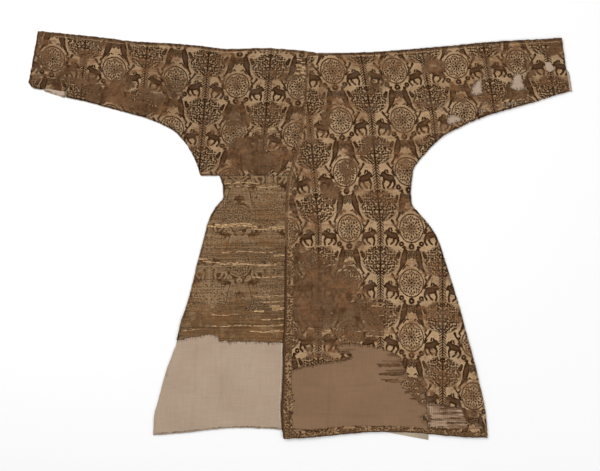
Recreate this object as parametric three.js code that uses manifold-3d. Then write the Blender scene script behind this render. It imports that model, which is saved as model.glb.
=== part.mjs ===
// A crossover riding coat laid flat, in millimetres, with +Z up and +X to the wearer's left.
// The origin lies on the surface under the coat: X = 0 is the middle of the body, and Y = 0 is
// half way from the cuffs' top edge to the hem. Each panel is a closed wall through straight
// sections that sweep from the cuff round the underarm and down to the hem.

import * as THREE from 'three';
import { mergeVertices } from 'three/addons/utils/BufferGeometryUtils.js';
import Module from 'manifold-3d';

const wasm = await Module();
wasm.setup();

// ---- driving dimensions ----

const SILK = 1.2;               // wall of the patterned silk, with the interlining quilted to it
const PLAIN = 1.0;              // wall of the plain linings
const BAND = 1.0;               // wall of the edge bands
const GAP = 0.3;                // between pieces that touch
const FIRST_PLY = SILK + GAP;   // underside of what lies directly on the back
const LINING_RISE = PLAIN + GAP;    // one lining under a panel
const OVERLAP_RISE = SILK + GAP;    // the left front over the right
const OVERLAP_EDGE = 6;         // X up to which the left front lies on the right
const OVERLAP_FOOT = 46;        // X where it has come down beside it
const WAIST_SEAM = 185;         // Y of the seam that joins the right skirt
const BAND_TOP = -31;           // Y where the front band begins
const FRONT_BAND_WIDTH = 28;
const HEM_BAND_HEIGHT = 16;
const BACK_INSET = 4;           // the back keeps this far inside the fronts' outline
const ROW_STEPS = 3;            // wall rows between two sections
const CUT_FROM = 0.5;           // tears are cut between these two heights
const CUT_TO = 20;

// ---- sections: a row for each, from the fold, neck or front edge to the underarm, side or hem.
// bow lifts a section's middle up the body; linings counts the linings under it. ----

const FRONT_LEFT = [
  { innerX: 638, innerY: 609, outerX: 667, outerY: 412, bow: 0, linings: 1 },
  { innerX: 569, innerY: 605, outerX: 591, outerY: 391, bow: 0, linings: 1 },
  { innerX: 506, innerY: 600, outerX: 522, outerY: 370, bow: 0, linings: 1 },
  { innerX: 444, innerY: 594, outerX: 458, outerY: 343, bow: 0, linings: 1 },
  { innerX: 356, innerY: 586, outerX: 391, outerY: 309, bow: 0, linings: 1 },
  { innerX: 290, innerY: 581, outerX: 358, outerY: 279, bow: 0, linings: 0 },
  { innerX: 230, innerY: 576, outerX: 334, outerY: 253, bow: 0, linings: 0 },
  { innerX: 178, innerY: 572, outerX: 314, outerY: 229, bow: 0, linings: 0 },
  { innerX: 84, innerY: 569, outerX: 297, outerY: 200, bow: 0, linings: 0 },
  { innerX: -28, innerY: 567, outerX: 293, outerY: 166, bow: 0, linings: 0 },
  { innerX: -47, innerY: 391, outerX: 290, outerY: 131, bow: 0, linings: 0 },
  { innerX: -69, innerY: 266, outerX: 294, outerY: 97, bow: 0, linings: 0 },
  { innerX: -97, innerY: 166, outerX: 312, outerY: 72, bow: 0, linings: 0 },
  { innerX: -103, innerY: 94, outerX: 344, outerY: 36, bow: 0, linings: 0 },
  { innerX: -103, innerY: 22, outerX: 370, outerY: -2, bow: 0, linings: 0 },
  { innerX: -104, innerY: -84, outerX: 398, outerY: -84, bow: 0, linings: 0 },
  { innerX: -105, innerY: -172, outerX: 426, outerY: -172, bow: 0, linings: 0 },
  { innerX: -105, innerY: -225, outerX: 442, outerY: -225, bow: 0, linings: 1 },
  { innerX: -109, innerY: -328, outerX: 470, outerY: -328, bow: 0, linings: 1 },
  { innerX: -111, innerY: -453, outerX: 502, outerY: -453, bow: 4, linings: 1 },
  { innerX: -116, innerY: -547, outerX: 522, outerY: -547, bow: 12, linings: 1 },
  { innerX: -111, innerY: -636 + HEM_BAND_HEIGHT, outerX: 529, outerY: -633 + HEM_BAND_HEIGHT, bow: 20, linings: 1 },
  { innerX: -109, innerY: -636, outerX: 529, outerY: -633, bow: 20, linings: 1 },
];

const CUFF_LEFT = [
  { innerX: 638.3, innerY: 609, outerX: 667.3, outerY: 412, bow: 0, linings: 1 },
  { innerX: 700, innerY: 612, outerX: 725, outerY: 431, bow: 0, linings: 1 },
  { innerX: 761, innerY: 616, outerX: 785, outerY: 449, bow: 0, linings: 1 },
];

const LINING_LEFT_SLEEVE = [
  { innerX: 372, innerY: 556, outerX: 393, outerY: 318, bow: 0, linings: 0 },
  { innerX: 444, innerY: 562, outerX: 456, outerY: 349, bow: 0, linings: 0 },
  { innerX: 506, innerY: 569, outerX: 520, outerY: 375, bow: 0, linings: 0 },
  { innerX: 591, innerY: 575, outerX: 590, outerY: 397, bow: 0, linings: 0 },
  { innerX: 669, innerY: 581, outerX: 667, outerY: 418, bow: 0, linings: 0 },
  { innerX: 728, innerY: 575, outerX: 725, outerY: 436, bow: 0, linings: 0 },
  { innerX: 756, innerY: 540, outerX: 764, outerY: 447, bow: 0, linings: 0 },
  { innerX: 784, innerY: 508, outerX: 794, outerY: 448, bow: 0, linings: 0 },
];

const FRONT_RIGHT = [
  { innerX: -772, innerY: 627, outerX: -788, outerY: 430, bow: 0, linings: 1 },
  { innerX: -712, innerY: 621, outerX: -728, outerY: 417, bow: 0, linings: 0 },
  { innerX: -650, innerY: 614, outerX: -666, outerY: 400, bow: 0, linings: 0 },
  { innerX: -588, innerY: 606, outerX: -603, outerY: 383, bow: 0, linings: 0 },
  { innerX: -525, innerY: 602, outerX: -538, outerY: 365, bow: 0, linings: 0 },
  { innerX: -447, innerY: 598, outerX: -488, outerY: 345, bow: 0, linings: 0 },
  { innerX: -369, innerY: 591, outerX: -453, outerY: 327, bow: 0, linings: 0 },
  { innerX: -275, innerY: 581, outerX: -428, outerY: 303, bow: 0, linings: 0 },
  { innerX: -175, innerY: 584, outerX: -408, outerY: 278, bow: 0, linings: 0 },
  { innerX: -88, innerY: 579, outerX: -395, outerY: 256, bow: 0, linings: 0 },
  { innerX: 0, innerY: 564, outerX: -384, outerY: 234, bow: 0, linings: 0 },
  { innerX: 0, innerY: 422, outerX: -375, outerY: 212, bow: 0, linings: 0 },
  { innerX: 0, innerY: WAIST_SEAM, outerX: -367, outerY: WAIST_SEAM, bow: 0, linings: 0 },
];

const CUFF_RIGHT = [
  { innerX: -875, innerY: 637, outerX: -904, outerY: 475, bow: 0, linings: 1 },
  { innerX: -860, innerY: 636, outerX: -889, outerY: 459, bow: 0, linings: 1 },
  { innerX: -842, innerY: 634, outerX: -864, outerY: 454, bow: 0, linings: 1 },
  { innerX: -822, innerY: 632, outerX: -845, outerY: 457, bow: 0, linings: 1 },
  { innerX: -796, innerY: 630, outerX: -815, outerY: 452, bow: 0, linings: 1 },
  { innerX: -772.3, innerY: 627, outerX: -787, outerY: 448, bow: 0, linings: 1 },
];

const LINING_RIGHT_CUFF = [
  { innerX: -860, innerY: 490, outerX: -856, outerY: 449, bow: 0, linings: 0 },
  { innerX: -825, innerY: 484, outerX: -825, outerY: 439, bow: 0, linings: 0 },
  { innerX: -792, innerY: 476, outerX: -790, outerY: 428, bow: 0, linings: 0 },
];

const SKIRT_RIGHT = [
  { innerX: 0, innerY: WAIST_SEAM - GAP, outerX: -308, outerY: WAIST_SEAM - GAP, bow: 0, linings: 0 },
  { innerX: 0, innerY: 150, outerX: -297, outerY: 150, bow: 0, linings: 0 },
  { innerX: 0, innerY: 119, outerX: -296, outerY: 119, bow: 0, linings: 0 },
  { innerX: 0, innerY: 97, outerX: -312, outerY: 97, bow: 0, linings: 0 },
  { innerX: 0, innerY: 75, outerX: -328, outerY: 75, bow: 0, linings: 0 },
  { innerX: 0, innerY: 44, outerX: -342, outerY: 44, bow: 0, linings: 0 },
  { innerX: 0, innerY: -47, outerX: -367, outerY: -47, bow: 0, linings: 0 },
  { innerX: 0, innerY: -156, outerX: -394, outerY: -156, bow: 0, linings: 0 },
  { innerX: 0, innerY: -213, outerX: -409, outerY: -213, bow: 0, linings: 0 },
  { innerX: 0, innerY: -266, outerX: -427, outerY: -266, bow: 0, linings: 1 },
  { innerX: 0, innerY: -340, outerX: -444, outerY: -340, bow: 0, linings: 1 },
];

const LINING_RIGHT = [
  { innerX: 0, innerY: -281, outerX: -424, outerY: -281, bow: 0, linings: 0 },
  { innerX: 0, innerY: -344, outerX: -444, outerY: -344, bow: 0, linings: 0 },
  { innerX: 0, innerY: -422, outerX: -473, outerY: -422, bow: 0, linings: 0 },
  { innerX: 0, innerY: -516, outerX: -499, outerY: -516, bow: 6, linings: 0 },
  { innerX: 0, innerY: -566, outerX: -512, outerY: -566, bow: 12, linings: 0 },
  { innerX: 0, innerY: -611, outerX: -515, outerY: -625, bow: 15, linings: 0 },
];

const LINING_LEFT_SKIRT = [
  { innerX: -102, innerY: -366, outerX: 336, outerY: -241, bow: 0, linings: 0 },
  { innerX: -103, innerY: -500, outerX: 337, outerY: -480, bow: 0, linings: 0 },
  { innerX: -104, innerY: -594, outerX: 344, outerY: -580, bow: 12, linings: 0 },
  { innerX: -105, innerY: -631, outerX: 346, outerY: -617, bow: 17, linings: 0 },
];

const LINING_LEFT_HEM = [
  { innerX: 340, innerY: -490, outerX: 505, outerY: -490, bow: 0, linings: 0 },
  { innerX: 347, innerY: -570, outerX: 519, outerY: -570, bow: 0, linings: 0 },
  { innerX: 348, innerY: -617, outerX: 524, outerY: -627, bow: 0, linings: 0 },
];

// ---- soft folds: a ridge from one place to the other, its rise and half width ----

const FOLDS_FRONT_LEFT = [
  { fromX: 322, fromY: 236, toX: 120, toY: 470, rise: 3.0, spread: 24 },
  { fromX: 300, fromY: 60, toX: 150, toY: 150, rise: 2.0, spread: 26 },
  { fromX: 330, fromY: -40, toX: 405, toY: -420, rise: 3.0, spread: 26 },
  { fromX: 190, fromY: -30, toX: 205, toY: -300, rise: 2.0, spread: 28 },
  { fromX: 420, fromY: 440, toX: 600, toY: 500, rise: 2.0, spread: 24 },
];

const FOLDS_FRONT_RIGHT = [
  { fromX: -405, fromY: 290, toX: -230, toY: 480, rise: 3.0, spread: 24 },
  { fromX: -520, fromY: 450, toX: -700, toY: 520, rise: 2.0, spread: 24 },
  { fromX: -350, fromY: 250, toX: -180, toY: 330, rise: 2.0, spread: 26 },
];

const FOLDS_SKIRT_RIGHT = [
  { fromX: -270, fromY: 60, toX: -330, toY: -250, rise: 2.5, spread: 26 },
  { fromX: -170, fromY: 30, toX: -190, toY: -230, rise: 2.0, spread: 24 },
];

const FOLDS_LINING_RIGHT = [
  { fromX: -372, fromY: -400, toX: -390, toY: -590, rise: 2.5, spread: 20 },
  { fromX: -300, fromY: -350, toX: -303, toY: -500, rise: 2.0, spread: 18 },
];

// ---- places where the silk is torn away: one short outline each ----

const TORN_LEFT_SKIRT = [
  [-88, -422], [-41, -411], [3, -402], [50, -395], [97, -389], [106, -375], [69, -366], [53, -350],
  [69, -341], [106, -339], [150, -344], [197, -352], [225, -364], [256, -378], [269, -409], [278, -441],
  [319, -453], [331, -478], [338, -522], [346, -604], [250, -598], [150, -596], [70, -598], [0, -606],
  [-78, -613], [-84, -560], [-76, -520], [-86, -470],
];

const TORN_LEFT_HEM = [
  [343, -525], [356, -523], [369, -528], [391, -531], [419, -537], [445, -535], [456, -547], [459, -570],
  [473, -579], [488, -579], [506, -591], [514, -604], [403, -603], [349, -600],
];

const HOLES_LEFT_SLEEVE = [
  [[484, 472], [506, 488], [512, 484], [514, 438], [481, 436], [477, 447]],
  [[612, 506], [634, 506], [647, 453], [609, 452], [598, 459]],
  [[403, 373], [431, 375], [456, 361], [438, 352], [409, 342], [403, 356]],
  [[500, 388], [525, 394], [527, 386], [503, 379]],
  [[578, 408], [612, 416], [644, 419], [644, 416], [612, 408], [581, 400]],
];

const HOLE_LEFT_CUFF = [[706, 541], [728, 541], [738, 516], [723, 508], [712, 516]];

const RAGGED_RIGHT_SKIRT = [
  [-460, -326], [-441, -328], [-384, -318], [-338, -310], [-309, -317], [-306, -334], [-290, -327],
  [-283, -334], [-244, -331], [-162, -335], [-103, -336], [-40, -333], [20, -331], [20, -360], [-460, -360],
];

// The back's hem hangs a little below the left front here.
const BACK_HEM_TAB = [[345, -600], [345, -640], [196, -613], [236, -600]];

// ---- surfaces ----

// Slope that never overshoots, so corners of the outline stay corners.
function calmSlope(before, after) {
  return before * after <= 0 ? 0 : (2 * before * after) / (before + after);
}

function sectionAt(table, t) {
  const index = Math.min(Math.floor(t), table.length - 2);
  const u = t - index;
  const result = {};
  for (const key of Object.keys(table[0])) {
    const value = (i) => table[Math.max(0, Math.min(table.length - 1, i))][key];
    const rise = value(index + 1) - value(index);
    const startSlope = index > 0 ? calmSlope(value(index) - value(index - 1), rise) : rise;
    const last = index + 2 > table.length - 1;
    const endSlope = last ? rise : calmSlope(rise, value(index + 2) - value(index + 1));
    const u2 = u * u;
    const u3 = u2 * u;
    result[key] = value(index) * (2 * u3 - 3 * u2 + 1) + value(index + 1) * (3 * u2 - 2 * u3)
      + startSlope * (u3 - 2 * u2 + u) + endSlope * (u3 - u2);
  }
  return result;
}

function rowPositions(table) {
  const count = (table.length - 1) * ROW_STEPS;
  return Array.from({ length: count + 1 }, (_, i) => i / ROW_STEPS);
}

function overlapRise(x) {
  const down = Math.max(0, Math.min(1, (x - OVERLAP_EDGE) / (OVERLAP_FOOT - OVERLAP_EDGE)));
  return OVERLAP_RISE * (1 - down);
}

function foldRise(folds, x, y) {
  let rise = 0;
  for (const fold of folds) {
    const dx = fold.toX - fold.fromX;
    const dy = fold.toY - fold.fromY;
    const length = Math.hypot(dx, dy);
    const along = ((x - fold.fromX) * dx + (y - fold.fromY) * dy) / (length * length);
    const across = ((x - fold.fromX) * dy - (y - fold.fromY) * dx) / length;
    if (along > 0 && along < 1) {
      rise += fold.rise * Math.sin(Math.PI * along) ** 2 * Math.exp(-((across / fold.spread) ** 2));
    }
  }
  return rise;
}

// The point a share s along section t, on the underside of the panel.
function pointOn(panel, t, s) {
  const section = sectionAt(panel.table, t);
  const x = section.innerX + (section.outerX - section.innerX) * s;
  const y = section.innerY + (section.outerY - section.innerY) * s + section.bow * Math.sin(Math.PI * s) ** 2;
  const lift = FIRST_PLY + section.linings * LINING_RISE + (panel.overlaps ? overlapRise(x) : 0);
  return new THREE.Vector3(x, y, lift + foldRise(panel.folds, x, y));
}

function evenShares(columns) {
  return () => Array.from({ length: columns + 1 }, (_, i) => i / columns);
}

// Shares that put a wall column at the band's edge and at both ends of the overlap's step.
function overlapShares(columns) {
  const narrowest = 300;
  return (section) => {
    const width = section.outerX - section.innerX;
    const band = FRONT_BAND_WIDTH / Math.max(width, narrowest);
    const edge = Math.max(2 * band, (OVERLAP_EDGE - section.innerX) / width);
    const foot = Math.max(edge + band, (OVERLAP_FOOT - section.innerX) / width);
    const shares = [0, band, edge, foot];
    for (let i = 1; i <= columns; i += 1) {
      shares.push(foot + ((1 - foot) * i) / columns);
    }
    return shares;
  };
}

// A closed wall between a grid of points and the same grid moved up by the thickness.
function wallFromGrid(grid, thickness) {
  const rows = grid.length;
  const columns = grid[0].length;
  const positions = [];
  for (const lift of [0, thickness]) {
    for (const row of grid) {
      for (const point of row) {
        positions.push(point.x, point.y, point.z + lift);
      }
    }
  }
  const under = (i, j) => i * columns + j;
  const over = (i, j) => rows * columns + i * columns + j;
  const index = [];
  const quad = (a, b, c, d) => index.push(a, b, c, a, c, d);
  for (let i = 0; i < rows - 1; i += 1) {
    for (let j = 0; j < columns - 1; j += 1) {
      quad(over(i, j), over(i + 1, j), over(i + 1, j + 1), over(i, j + 1));
      quad(under(i, j), under(i, j + 1), under(i + 1, j + 1), under(i + 1, j));
    }
  }
  for (let i = 0; i < rows - 1; i += 1) {
    quad(under(i, 0), under(i + 1, 0), over(i + 1, 0), over(i, 0));
    quad(under(i + 1, columns - 1), under(i, columns - 1), over(i, columns - 1), over(i + 1, columns - 1));
  }
  for (let j = 0; j < columns - 1; j += 1) {
    quad(under(0, j + 1), under(0, j), over(0, j), over(0, j + 1));
    quad(under(rows - 1, j), under(rows - 1, j + 1), over(rows - 1, j + 1), over(rows - 1, j));
  }
  const geometry = new THREE.BufferGeometry();
  geometry.setAttribute('position', new THREE.Float32BufferAttribute(positions, 3));
  geometry.setIndex(index);
  return geometry;
}

function flipped(geometry) {
  const index = geometry.getIndex().array;
  for (let i = 0; i < index.length; i += 3) {
    [index[i + 1], index[i + 2]] = [index[i + 2], index[i + 1]];
  }
  return geometry;
}

function panelGrid(panel, positions) {
  return positions.map((t) => {
    const shares = panel.shares(sectionAt(panel.table, t));
    return shares.map((s) => pointOn(panel, t, s));
  });
}

// A panel whose sections run the other way round has its faces turned.
function facesDown(grid) {
  const along = grid[1][0].clone().sub(grid[0][0]);
  const across = grid[0][1].clone().sub(grid[0][0]);
  return along.cross(across).z < 0;
}

function panelWall(panel, thickness) {
  const grid = panelGrid(panel, rowPositions(panel.table));
  const geometry = wallFromGrid(grid, thickness);
  return facesDown(grid) ? flipped(geometry) : geometry;
}

// ---- cutting ----

function toSolid(geometry) {
  const bare = geometry.clone();
  bare.deleteAttribute('normal');
  bare.deleteAttribute('uv');
  const merged = mergeVertices(bare);
  return new wasm.Manifold(new wasm.Mesh({
    numProp: 3,
    vertProperties: new Float32Array(merged.getAttribute('position').array),
    triVerts: new Uint32Array(merged.getIndex().array),
  }));
}

function toGeometry(solid) {
  const mesh = solid.getMesh();
  const geometry = new THREE.BufferGeometry();
  geometry.setAttribute('position', new THREE.BufferAttribute(mesh.vertProperties, 3));
  geometry.setIndex(new THREE.BufferAttribute(mesh.triVerts, 1));
  return geometry;
}

function extrudedOutline(outline, low, high) {
  const shape = new THREE.Shape(outline.map(([x, y]) => new THREE.Vector2(x, y)));
  const geometry = new THREE.ExtrudeGeometry(shape, { depth: high - low, bevelEnabled: false });
  return geometry.translate(0, 0, low);
}

function cutThrough(geometry, outlines) {
  let solid = toSolid(geometry);
  for (const outline of outlines) {
    solid = solid.subtract(toSolid(extrudedOutline(outline, CUT_FROM, CUT_TO)));
  }
  return toGeometry(solid);
}

// ---- the back: the fronts' whole outline, drawn in a little, flat on the surface ----

function edgePoints(table, edge) {
  return rowPositions(table).map((t) => {
    const section = sectionAt(table, t);
    return [section[`${edge}X`], section[`${edge}Y`]];
  });
}

function hemPoints(table, shares) {
  const last = table.length - 1;
  const panel = { table, folds: [] };
  return shares.map((s) => pointOn(panel, last, s)).map((point) => [point.x, point.y]);
}

function insetOutline(outline, distance) {
  const count = outline.length;
  const sharpest = 1.2;
  return outline.map((point, i) => {
    const before = outline[(i + count - 1) % count];
    const after = outline[(i + 1) % count];
    const a = new THREE.Vector2(point[0] - before[0], point[1] - before[1]).normalize();
    const b = new THREE.Vector2(after[0] - point[0], after[1] - point[1]).normalize();
    const inward = new THREE.Vector2(-a.y - b.y, a.x + b.x);
    const scale = (2 * distance) / Math.max(inward.lengthSq(), sharpest);
    return [point[0] + inward.x * scale, point[1] + inward.y * scale];
  });
}

function backOutline() {
  const neckY = 560;
  const neckX = 10;
  const leftTop = edgePoints(FRONT_LEFT, 'inner').filter(([x, y]) => x > neckX && y > neckY);
  const rightTop = edgePoints(FRONT_RIGHT, 'inner').filter(([, y]) => y > neckY);
  const hemShares = [0.1, 0.25, 0.4, 0.5, 0.6, 0.75, 0.9];
  const rightHem = hemPoints(LINING_RIGHT, hemShares);
  const leftHem = hemPoints(FRONT_LEFT, hemShares.slice(1));
  const outline = [
    ...edgePoints(CUFF_RIGHT, 'outer').slice(0, 4),
    ...edgePoints(LINING_RIGHT_CUFF, 'outer'),
    ...edgePoints(FRONT_RIGHT, 'outer').slice(1),
    ...edgePoints(SKIRT_RIGHT, 'outer').slice(0, -1),
    ...edgePoints(LINING_RIGHT, 'outer').slice(4),
    ...rightHem.reverse(),
    ...leftHem,
    ...edgePoints(FRONT_LEFT, 'outer').slice(1).reverse(),
    ...edgePoints(CUFF_LEFT, 'outer').slice(1),
    ...edgePoints(CUFF_LEFT, 'inner').slice(1).reverse(),
    ...leftTop,
    ...rightTop.reverse(),
    ...edgePoints(CUFF_RIGHT, 'inner').slice(0, -1).reverse(),
  ];
  return insetOutline(outline, BACK_INSET);
}

// ---- the pieces ----

const silkFace = new THREE.MeshStandardMaterial({ color: 0x7a5f40, roughness: 0.75, metalness: 0 });
const silkReverse = new THREE.MeshStandardMaterial({ color: 0x66503a, roughness: 0.8, metalness: 0 });
const paleCloth = new THREE.MeshStandardMaterial({ color: 0xac9984, roughness: 0.9, metalness: 0 });
const brownCloth = new THREE.MeshStandardMaterial({ color: 0x866a52, roughness: 0.9, metalness: 0 });
const bandSilk = new THREE.MeshStandardMaterial({ color: 0x8c6d44, roughness: 0.7, metalness: 0 });

const leftPanel = { table: FRONT_LEFT, folds: FOLDS_FRONT_LEFT, overlaps: true, shares: overlapShares(9) };

function plainPanel(table, columns, folds = []) {
  return { table, folds, overlaps: false, shares: evenShares(columns) };
}

function makeBack() {
  const outline = toSolid(extrudedOutline(backOutline(), 0, SILK));
  return toGeometry(outline.add(toSolid(extrudedOutline(BACK_HEM_TAB, 0, SILK))));
}

function makeFrontLeft() {
  return cutThrough(panelWall(leftPanel, SILK), [TORN_LEFT_SKIRT, TORN_LEFT_HEM, ...HOLES_LEFT_SLEEVE]);
}

function makeSkirtRight() {
  return cutThrough(panelWall(plainPanel(SKIRT_RIGHT, 12, FOLDS_SKIRT_RIGHT), SILK), [RAGGED_RIGHT_SKIRT]);
}

function makeLiningLeftSkirt() {
  const columns = 5;
  const shares = (section) => {
    const width = section.outerX - section.innerX;
    const edge = (OVERLAP_EDGE - section.innerX) / width;
    const foot = (OVERLAP_FOOT - section.innerX) / width;
    const beyond = Array.from({ length: columns }, (_, i) => foot + ((1 - foot) * (i + 1)) / columns);
    return [0, edge / 2, edge, foot, ...beyond];
  };
  return panelWall({ table: LINING_LEFT_SKIRT, folds: [], overlaps: true, shares }, PLAIN);
}

// A band is made from the panel's own points, moved up off its silk.
function bandOnPanel(positions, pickShares) {
  const grid = positions.map((t) => {
    const shares = pickShares(leftPanel.shares(sectionAt(FRONT_LEFT, t)));
    return shares.map((s) => pointOn(leftPanel, t, s).setZ(pointOn(leftPanel, t, s).z + SILK + GAP));
  });
  return wallFromGrid(grid, BAND);
}

function makeFrontBand() {
  const positions = rowPositions(FRONT_LEFT).filter((t) => sectionAt(FRONT_LEFT, t).innerY < BAND_TOP);
  return bandOnPanel(positions, (shares) => shares.slice(0, 2));
}

function makeHemBand() {
  const lastRow = FRONT_LEFT.length - 1;
  const positions = rowPositions(FRONT_LEFT).filter((t) => t >= lastRow - 1);
  const cornerGap = 0.0006;
  return bandOnPanel(positions, (shares) => [shares[1] + cornerGap, ...shares.slice(2)]);
}

const pieces = [
  { name: 'back', material: paleCloth, geometry: makeBack() },
  { name: 'lining_right', material: paleCloth,
    geometry: panelWall(plainPanel(LINING_RIGHT, 14, FOLDS_LINING_RIGHT), PLAIN) },
  { name: 'lining_right_cuff', material: paleCloth, geometry: panelWall(plainPanel(LINING_RIGHT_CUFF, 3), PLAIN) },
  { name: 'front_right', material: silkFace,
    geometry: panelWall(plainPanel(FRONT_RIGHT, 12, FOLDS_FRONT_RIGHT), SILK) },
  { name: 'cuff_right', material: silkFace, geometry: panelWall(plainPanel(CUFF_RIGHT, 6), SILK) },
  { name: 'skirt_right', material: silkReverse, geometry: makeSkirtRight() },
  { name: 'lining_left_sleeve', material: paleCloth, geometry: panelWall(plainPanel(LINING_LEFT_SLEEVE, 5), PLAIN) },
  { name: 'lining_left_skirt', material: brownCloth, geometry: makeLiningLeftSkirt() },
  { name: 'lining_left_hem', material: paleCloth, geometry: panelWall(plainPanel(LINING_LEFT_HEM, 4), PLAIN) },
  { name: 'front_left', material: silkFace, geometry: makeFrontLeft() },
  { name: 'cuff_left', material: silkFace,
    geometry: cutThrough(panelWall(plainPanel(CUFF_LEFT, 6), SILK), [HOLE_LEFT_CUFF]) },
  { name: 'front_band', material: bandSilk, geometry: makeFrontBand() },
  { name: 'hem_band', material: bandSilk, geometry: makeHemBand() },
];

const group = new THREE.Group();
for (const piece of pieces) {
  const mesh = new THREE.Mesh(piece.geometry, piece.material);
  mesh.name = piece.name;
  group.add(mesh);
}

export default group;
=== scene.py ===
"""A crossover riding coat laid flat: worn figured silk, torn over its plain linings.

Lengths are millimetres in the tables and become metres when a mesh is made. X runs to the
wearer's left sleeve, Y to the neck, Z up from the surface that the coat lies on.
"""

import math
import random
from collections import namedtuple
from dataclasses import dataclass
from functools import reduce

import bmesh
import bpy
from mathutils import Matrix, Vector, kdtree, noise


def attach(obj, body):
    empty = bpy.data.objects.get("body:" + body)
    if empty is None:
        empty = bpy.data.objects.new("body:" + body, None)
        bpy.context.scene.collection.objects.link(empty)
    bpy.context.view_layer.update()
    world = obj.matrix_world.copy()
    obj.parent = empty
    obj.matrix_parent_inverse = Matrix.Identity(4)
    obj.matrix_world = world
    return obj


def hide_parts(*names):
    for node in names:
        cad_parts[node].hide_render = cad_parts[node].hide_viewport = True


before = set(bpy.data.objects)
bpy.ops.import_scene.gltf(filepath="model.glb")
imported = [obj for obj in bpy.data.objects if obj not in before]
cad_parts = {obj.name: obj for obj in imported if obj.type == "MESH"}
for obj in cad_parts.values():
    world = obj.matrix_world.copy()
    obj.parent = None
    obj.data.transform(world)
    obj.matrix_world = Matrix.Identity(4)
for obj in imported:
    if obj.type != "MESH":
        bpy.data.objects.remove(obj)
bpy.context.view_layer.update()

MM = 0.001


def rows_of(kind, rows):
    return tuple(kind(*row) for row in rows)


# ---- cloth walls and how they lie on each other, as in the solids ----

SILK = 1.2
PLAIN = 1.0
BAND = 1.0
GAP = 0.3
FIRST_PLY = SILK + GAP
LINING_RISE = PLAIN + GAP
OVERLAP_RISE = SILK + GAP
OVERLAP_EDGE = 6        # the left front lies on the right up to here,
OVERLAP_FOOT = 46       # and has come down to the back here
WAIST_SEAM = 185
BAND_TOP = -31
FRONT_BAND_WIDTH = 28
HEM_BAND_HEIGHT = 16
CLOTH_SHOWN = 0.9       # each wall is drawn this thick, its top where the solid's top is

# ---- sections: a row for each, from the fold, neck or front edge to the underarm, side or hem ----
# A section may bow up in its middle, and lies on so many linings.

Section = namedtuple("Section", "inner_x inner_y outer_x outer_y bow linings", defaults=(0, 0))

FRONT_LEFT = rows_of(Section, (
    (638, 609, 667, 412, 0, 1),
    (569, 605, 591, 391, 0, 1),
    (506, 600, 522, 370, 0, 1),
    (444, 594, 458, 343, 0, 1),
    (356, 586, 391, 309, 0, 1),
    (290, 581, 358, 279),
    (230, 576, 334, 253),
    (178, 572, 314, 229),
    (84, 569, 297, 200),
    (-28, 567, 293, 166),
    (-47, 391, 290, 131),
    (-69, 266, 294, 97),
    (-97, 166, 312, 72),
    (-103, 94, 344, 36),
    (-103, 22, 370, -2),
    (-104, -84, 398, -84),
    (-105, -172, 426, -172),
    (-105, -225, 442, -225, 0, 1),
    (-109, -328, 470, -328, 0, 1),
    (-111, -453, 502, -453, 4, 1),
    (-116, -547, 522, -547, 12, 1),
    (-111, -636 + HEM_BAND_HEIGHT, 529, -633 + HEM_BAND_HEIGHT, 20, 1),
    (-109, -636, 529, -633, 20, 1),
))

CUFF_LEFT = rows_of(Section, (
    (638.3, 609, 667.3, 412, 0, 1),
    (700, 612, 725, 431, 0, 1),
    (761, 616, 785, 449, 0, 1),
))

LINING_LEFT_SLEEVE = rows_of(Section, (
    (372, 556, 393, 318),
    (444, 562, 456, 349),
    (506, 569, 520, 375),
    (591, 575, 590, 397),
    (669, 581, 667, 418),
    (728, 575, 725, 436),
    (756, 540, 764, 447),
    (784, 508, 794, 448),
))

FRONT_RIGHT = rows_of(Section, (
    (-772, 627, -788, 430, 0, 1),
    (-712, 621, -728, 417),
    (-650, 614, -666, 400),
    (-588, 606, -603, 383),
    (-525, 602, -538, 365),
    (-447, 598, -488, 345),
    (-369, 591, -453, 327),
    (-275, 581, -428, 303),
    (-175, 584, -408, 278),
    (-88, 579, -395, 256),
    (0, 564, -384, 234),
    (0, 422, -375, 212),
    (0, WAIST_SEAM, -367, WAIST_SEAM),
))

CUFF_RIGHT = rows_of(Section, (
    (-875, 637, -904, 475, 0, 1),
    (-860, 636, -889, 459, 0, 1),
    (-842, 634, -864, 454, 0, 1),
    (-822, 632, -845, 457, 0, 1),
    (-796, 630, -815, 452, 0, 1),
    (-772.3, 627, -787, 448, 0, 1),
))

LINING_RIGHT_CUFF = rows_of(Section, (
    (-860, 490, -856, 449),
    (-825, 484, -825, 439),
    (-792, 476, -790, 428),
))

SKIRT_RIGHT = rows_of(Section, (
    (0, WAIST_SEAM - GAP, -308, WAIST_SEAM - GAP),
    (0, 150, -297, 150),
    (0, 119, -296, 119),
    (0, 97, -312, 97),
    (0, 75, -328, 75),
    (0, 44, -342, 44),
    (0, -47, -367, -47),
    (0, -156, -394, -156),
    (0, -213, -409, -213),
    (0, -266, -427, -266, 0, 1),
    (0, -340, -444, -340, 0, 1),
))

LINING_RIGHT = rows_of(Section, (
    (0, -281, -424, -281),
    (0, -344, -444, -344),
    (0, -422, -473, -422),
    (0, -516, -499, -516, 6),
    (0, -566, -512, -566, 12),
    (0, -611, -515, -625, 15),
))

LINING_LEFT_SKIRT = rows_of(Section, (
    (-102, -366, 336, -241),
    (-103, -500, 337, -480),
    (-104, -594, 344, -580, 12),
    (-105, -631, 346, -617, 17),
))

LINING_LEFT_HEM = rows_of(Section, (
    (340, -490, 505, -490),
    (347, -570, 519, -570),
    (348, -617, 524, -627),
))

# ---- soft folds: a ridge from one place to another, its rise and half width ----

Fold = namedtuple("Fold", "from_x from_y to_x to_y rise spread")

FOLDS_FRONT_LEFT = rows_of(Fold, (
    (322, 236, 120, 470, 3.0, 24),
    (300, 60, 150, 150, 2.0, 26),
    (330, -40, 405, -420, 3.0, 26),
    (190, -30, 205, -300, 2.0, 28),
    (420, 440, 600, 500, 2.0, 24),
))

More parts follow.
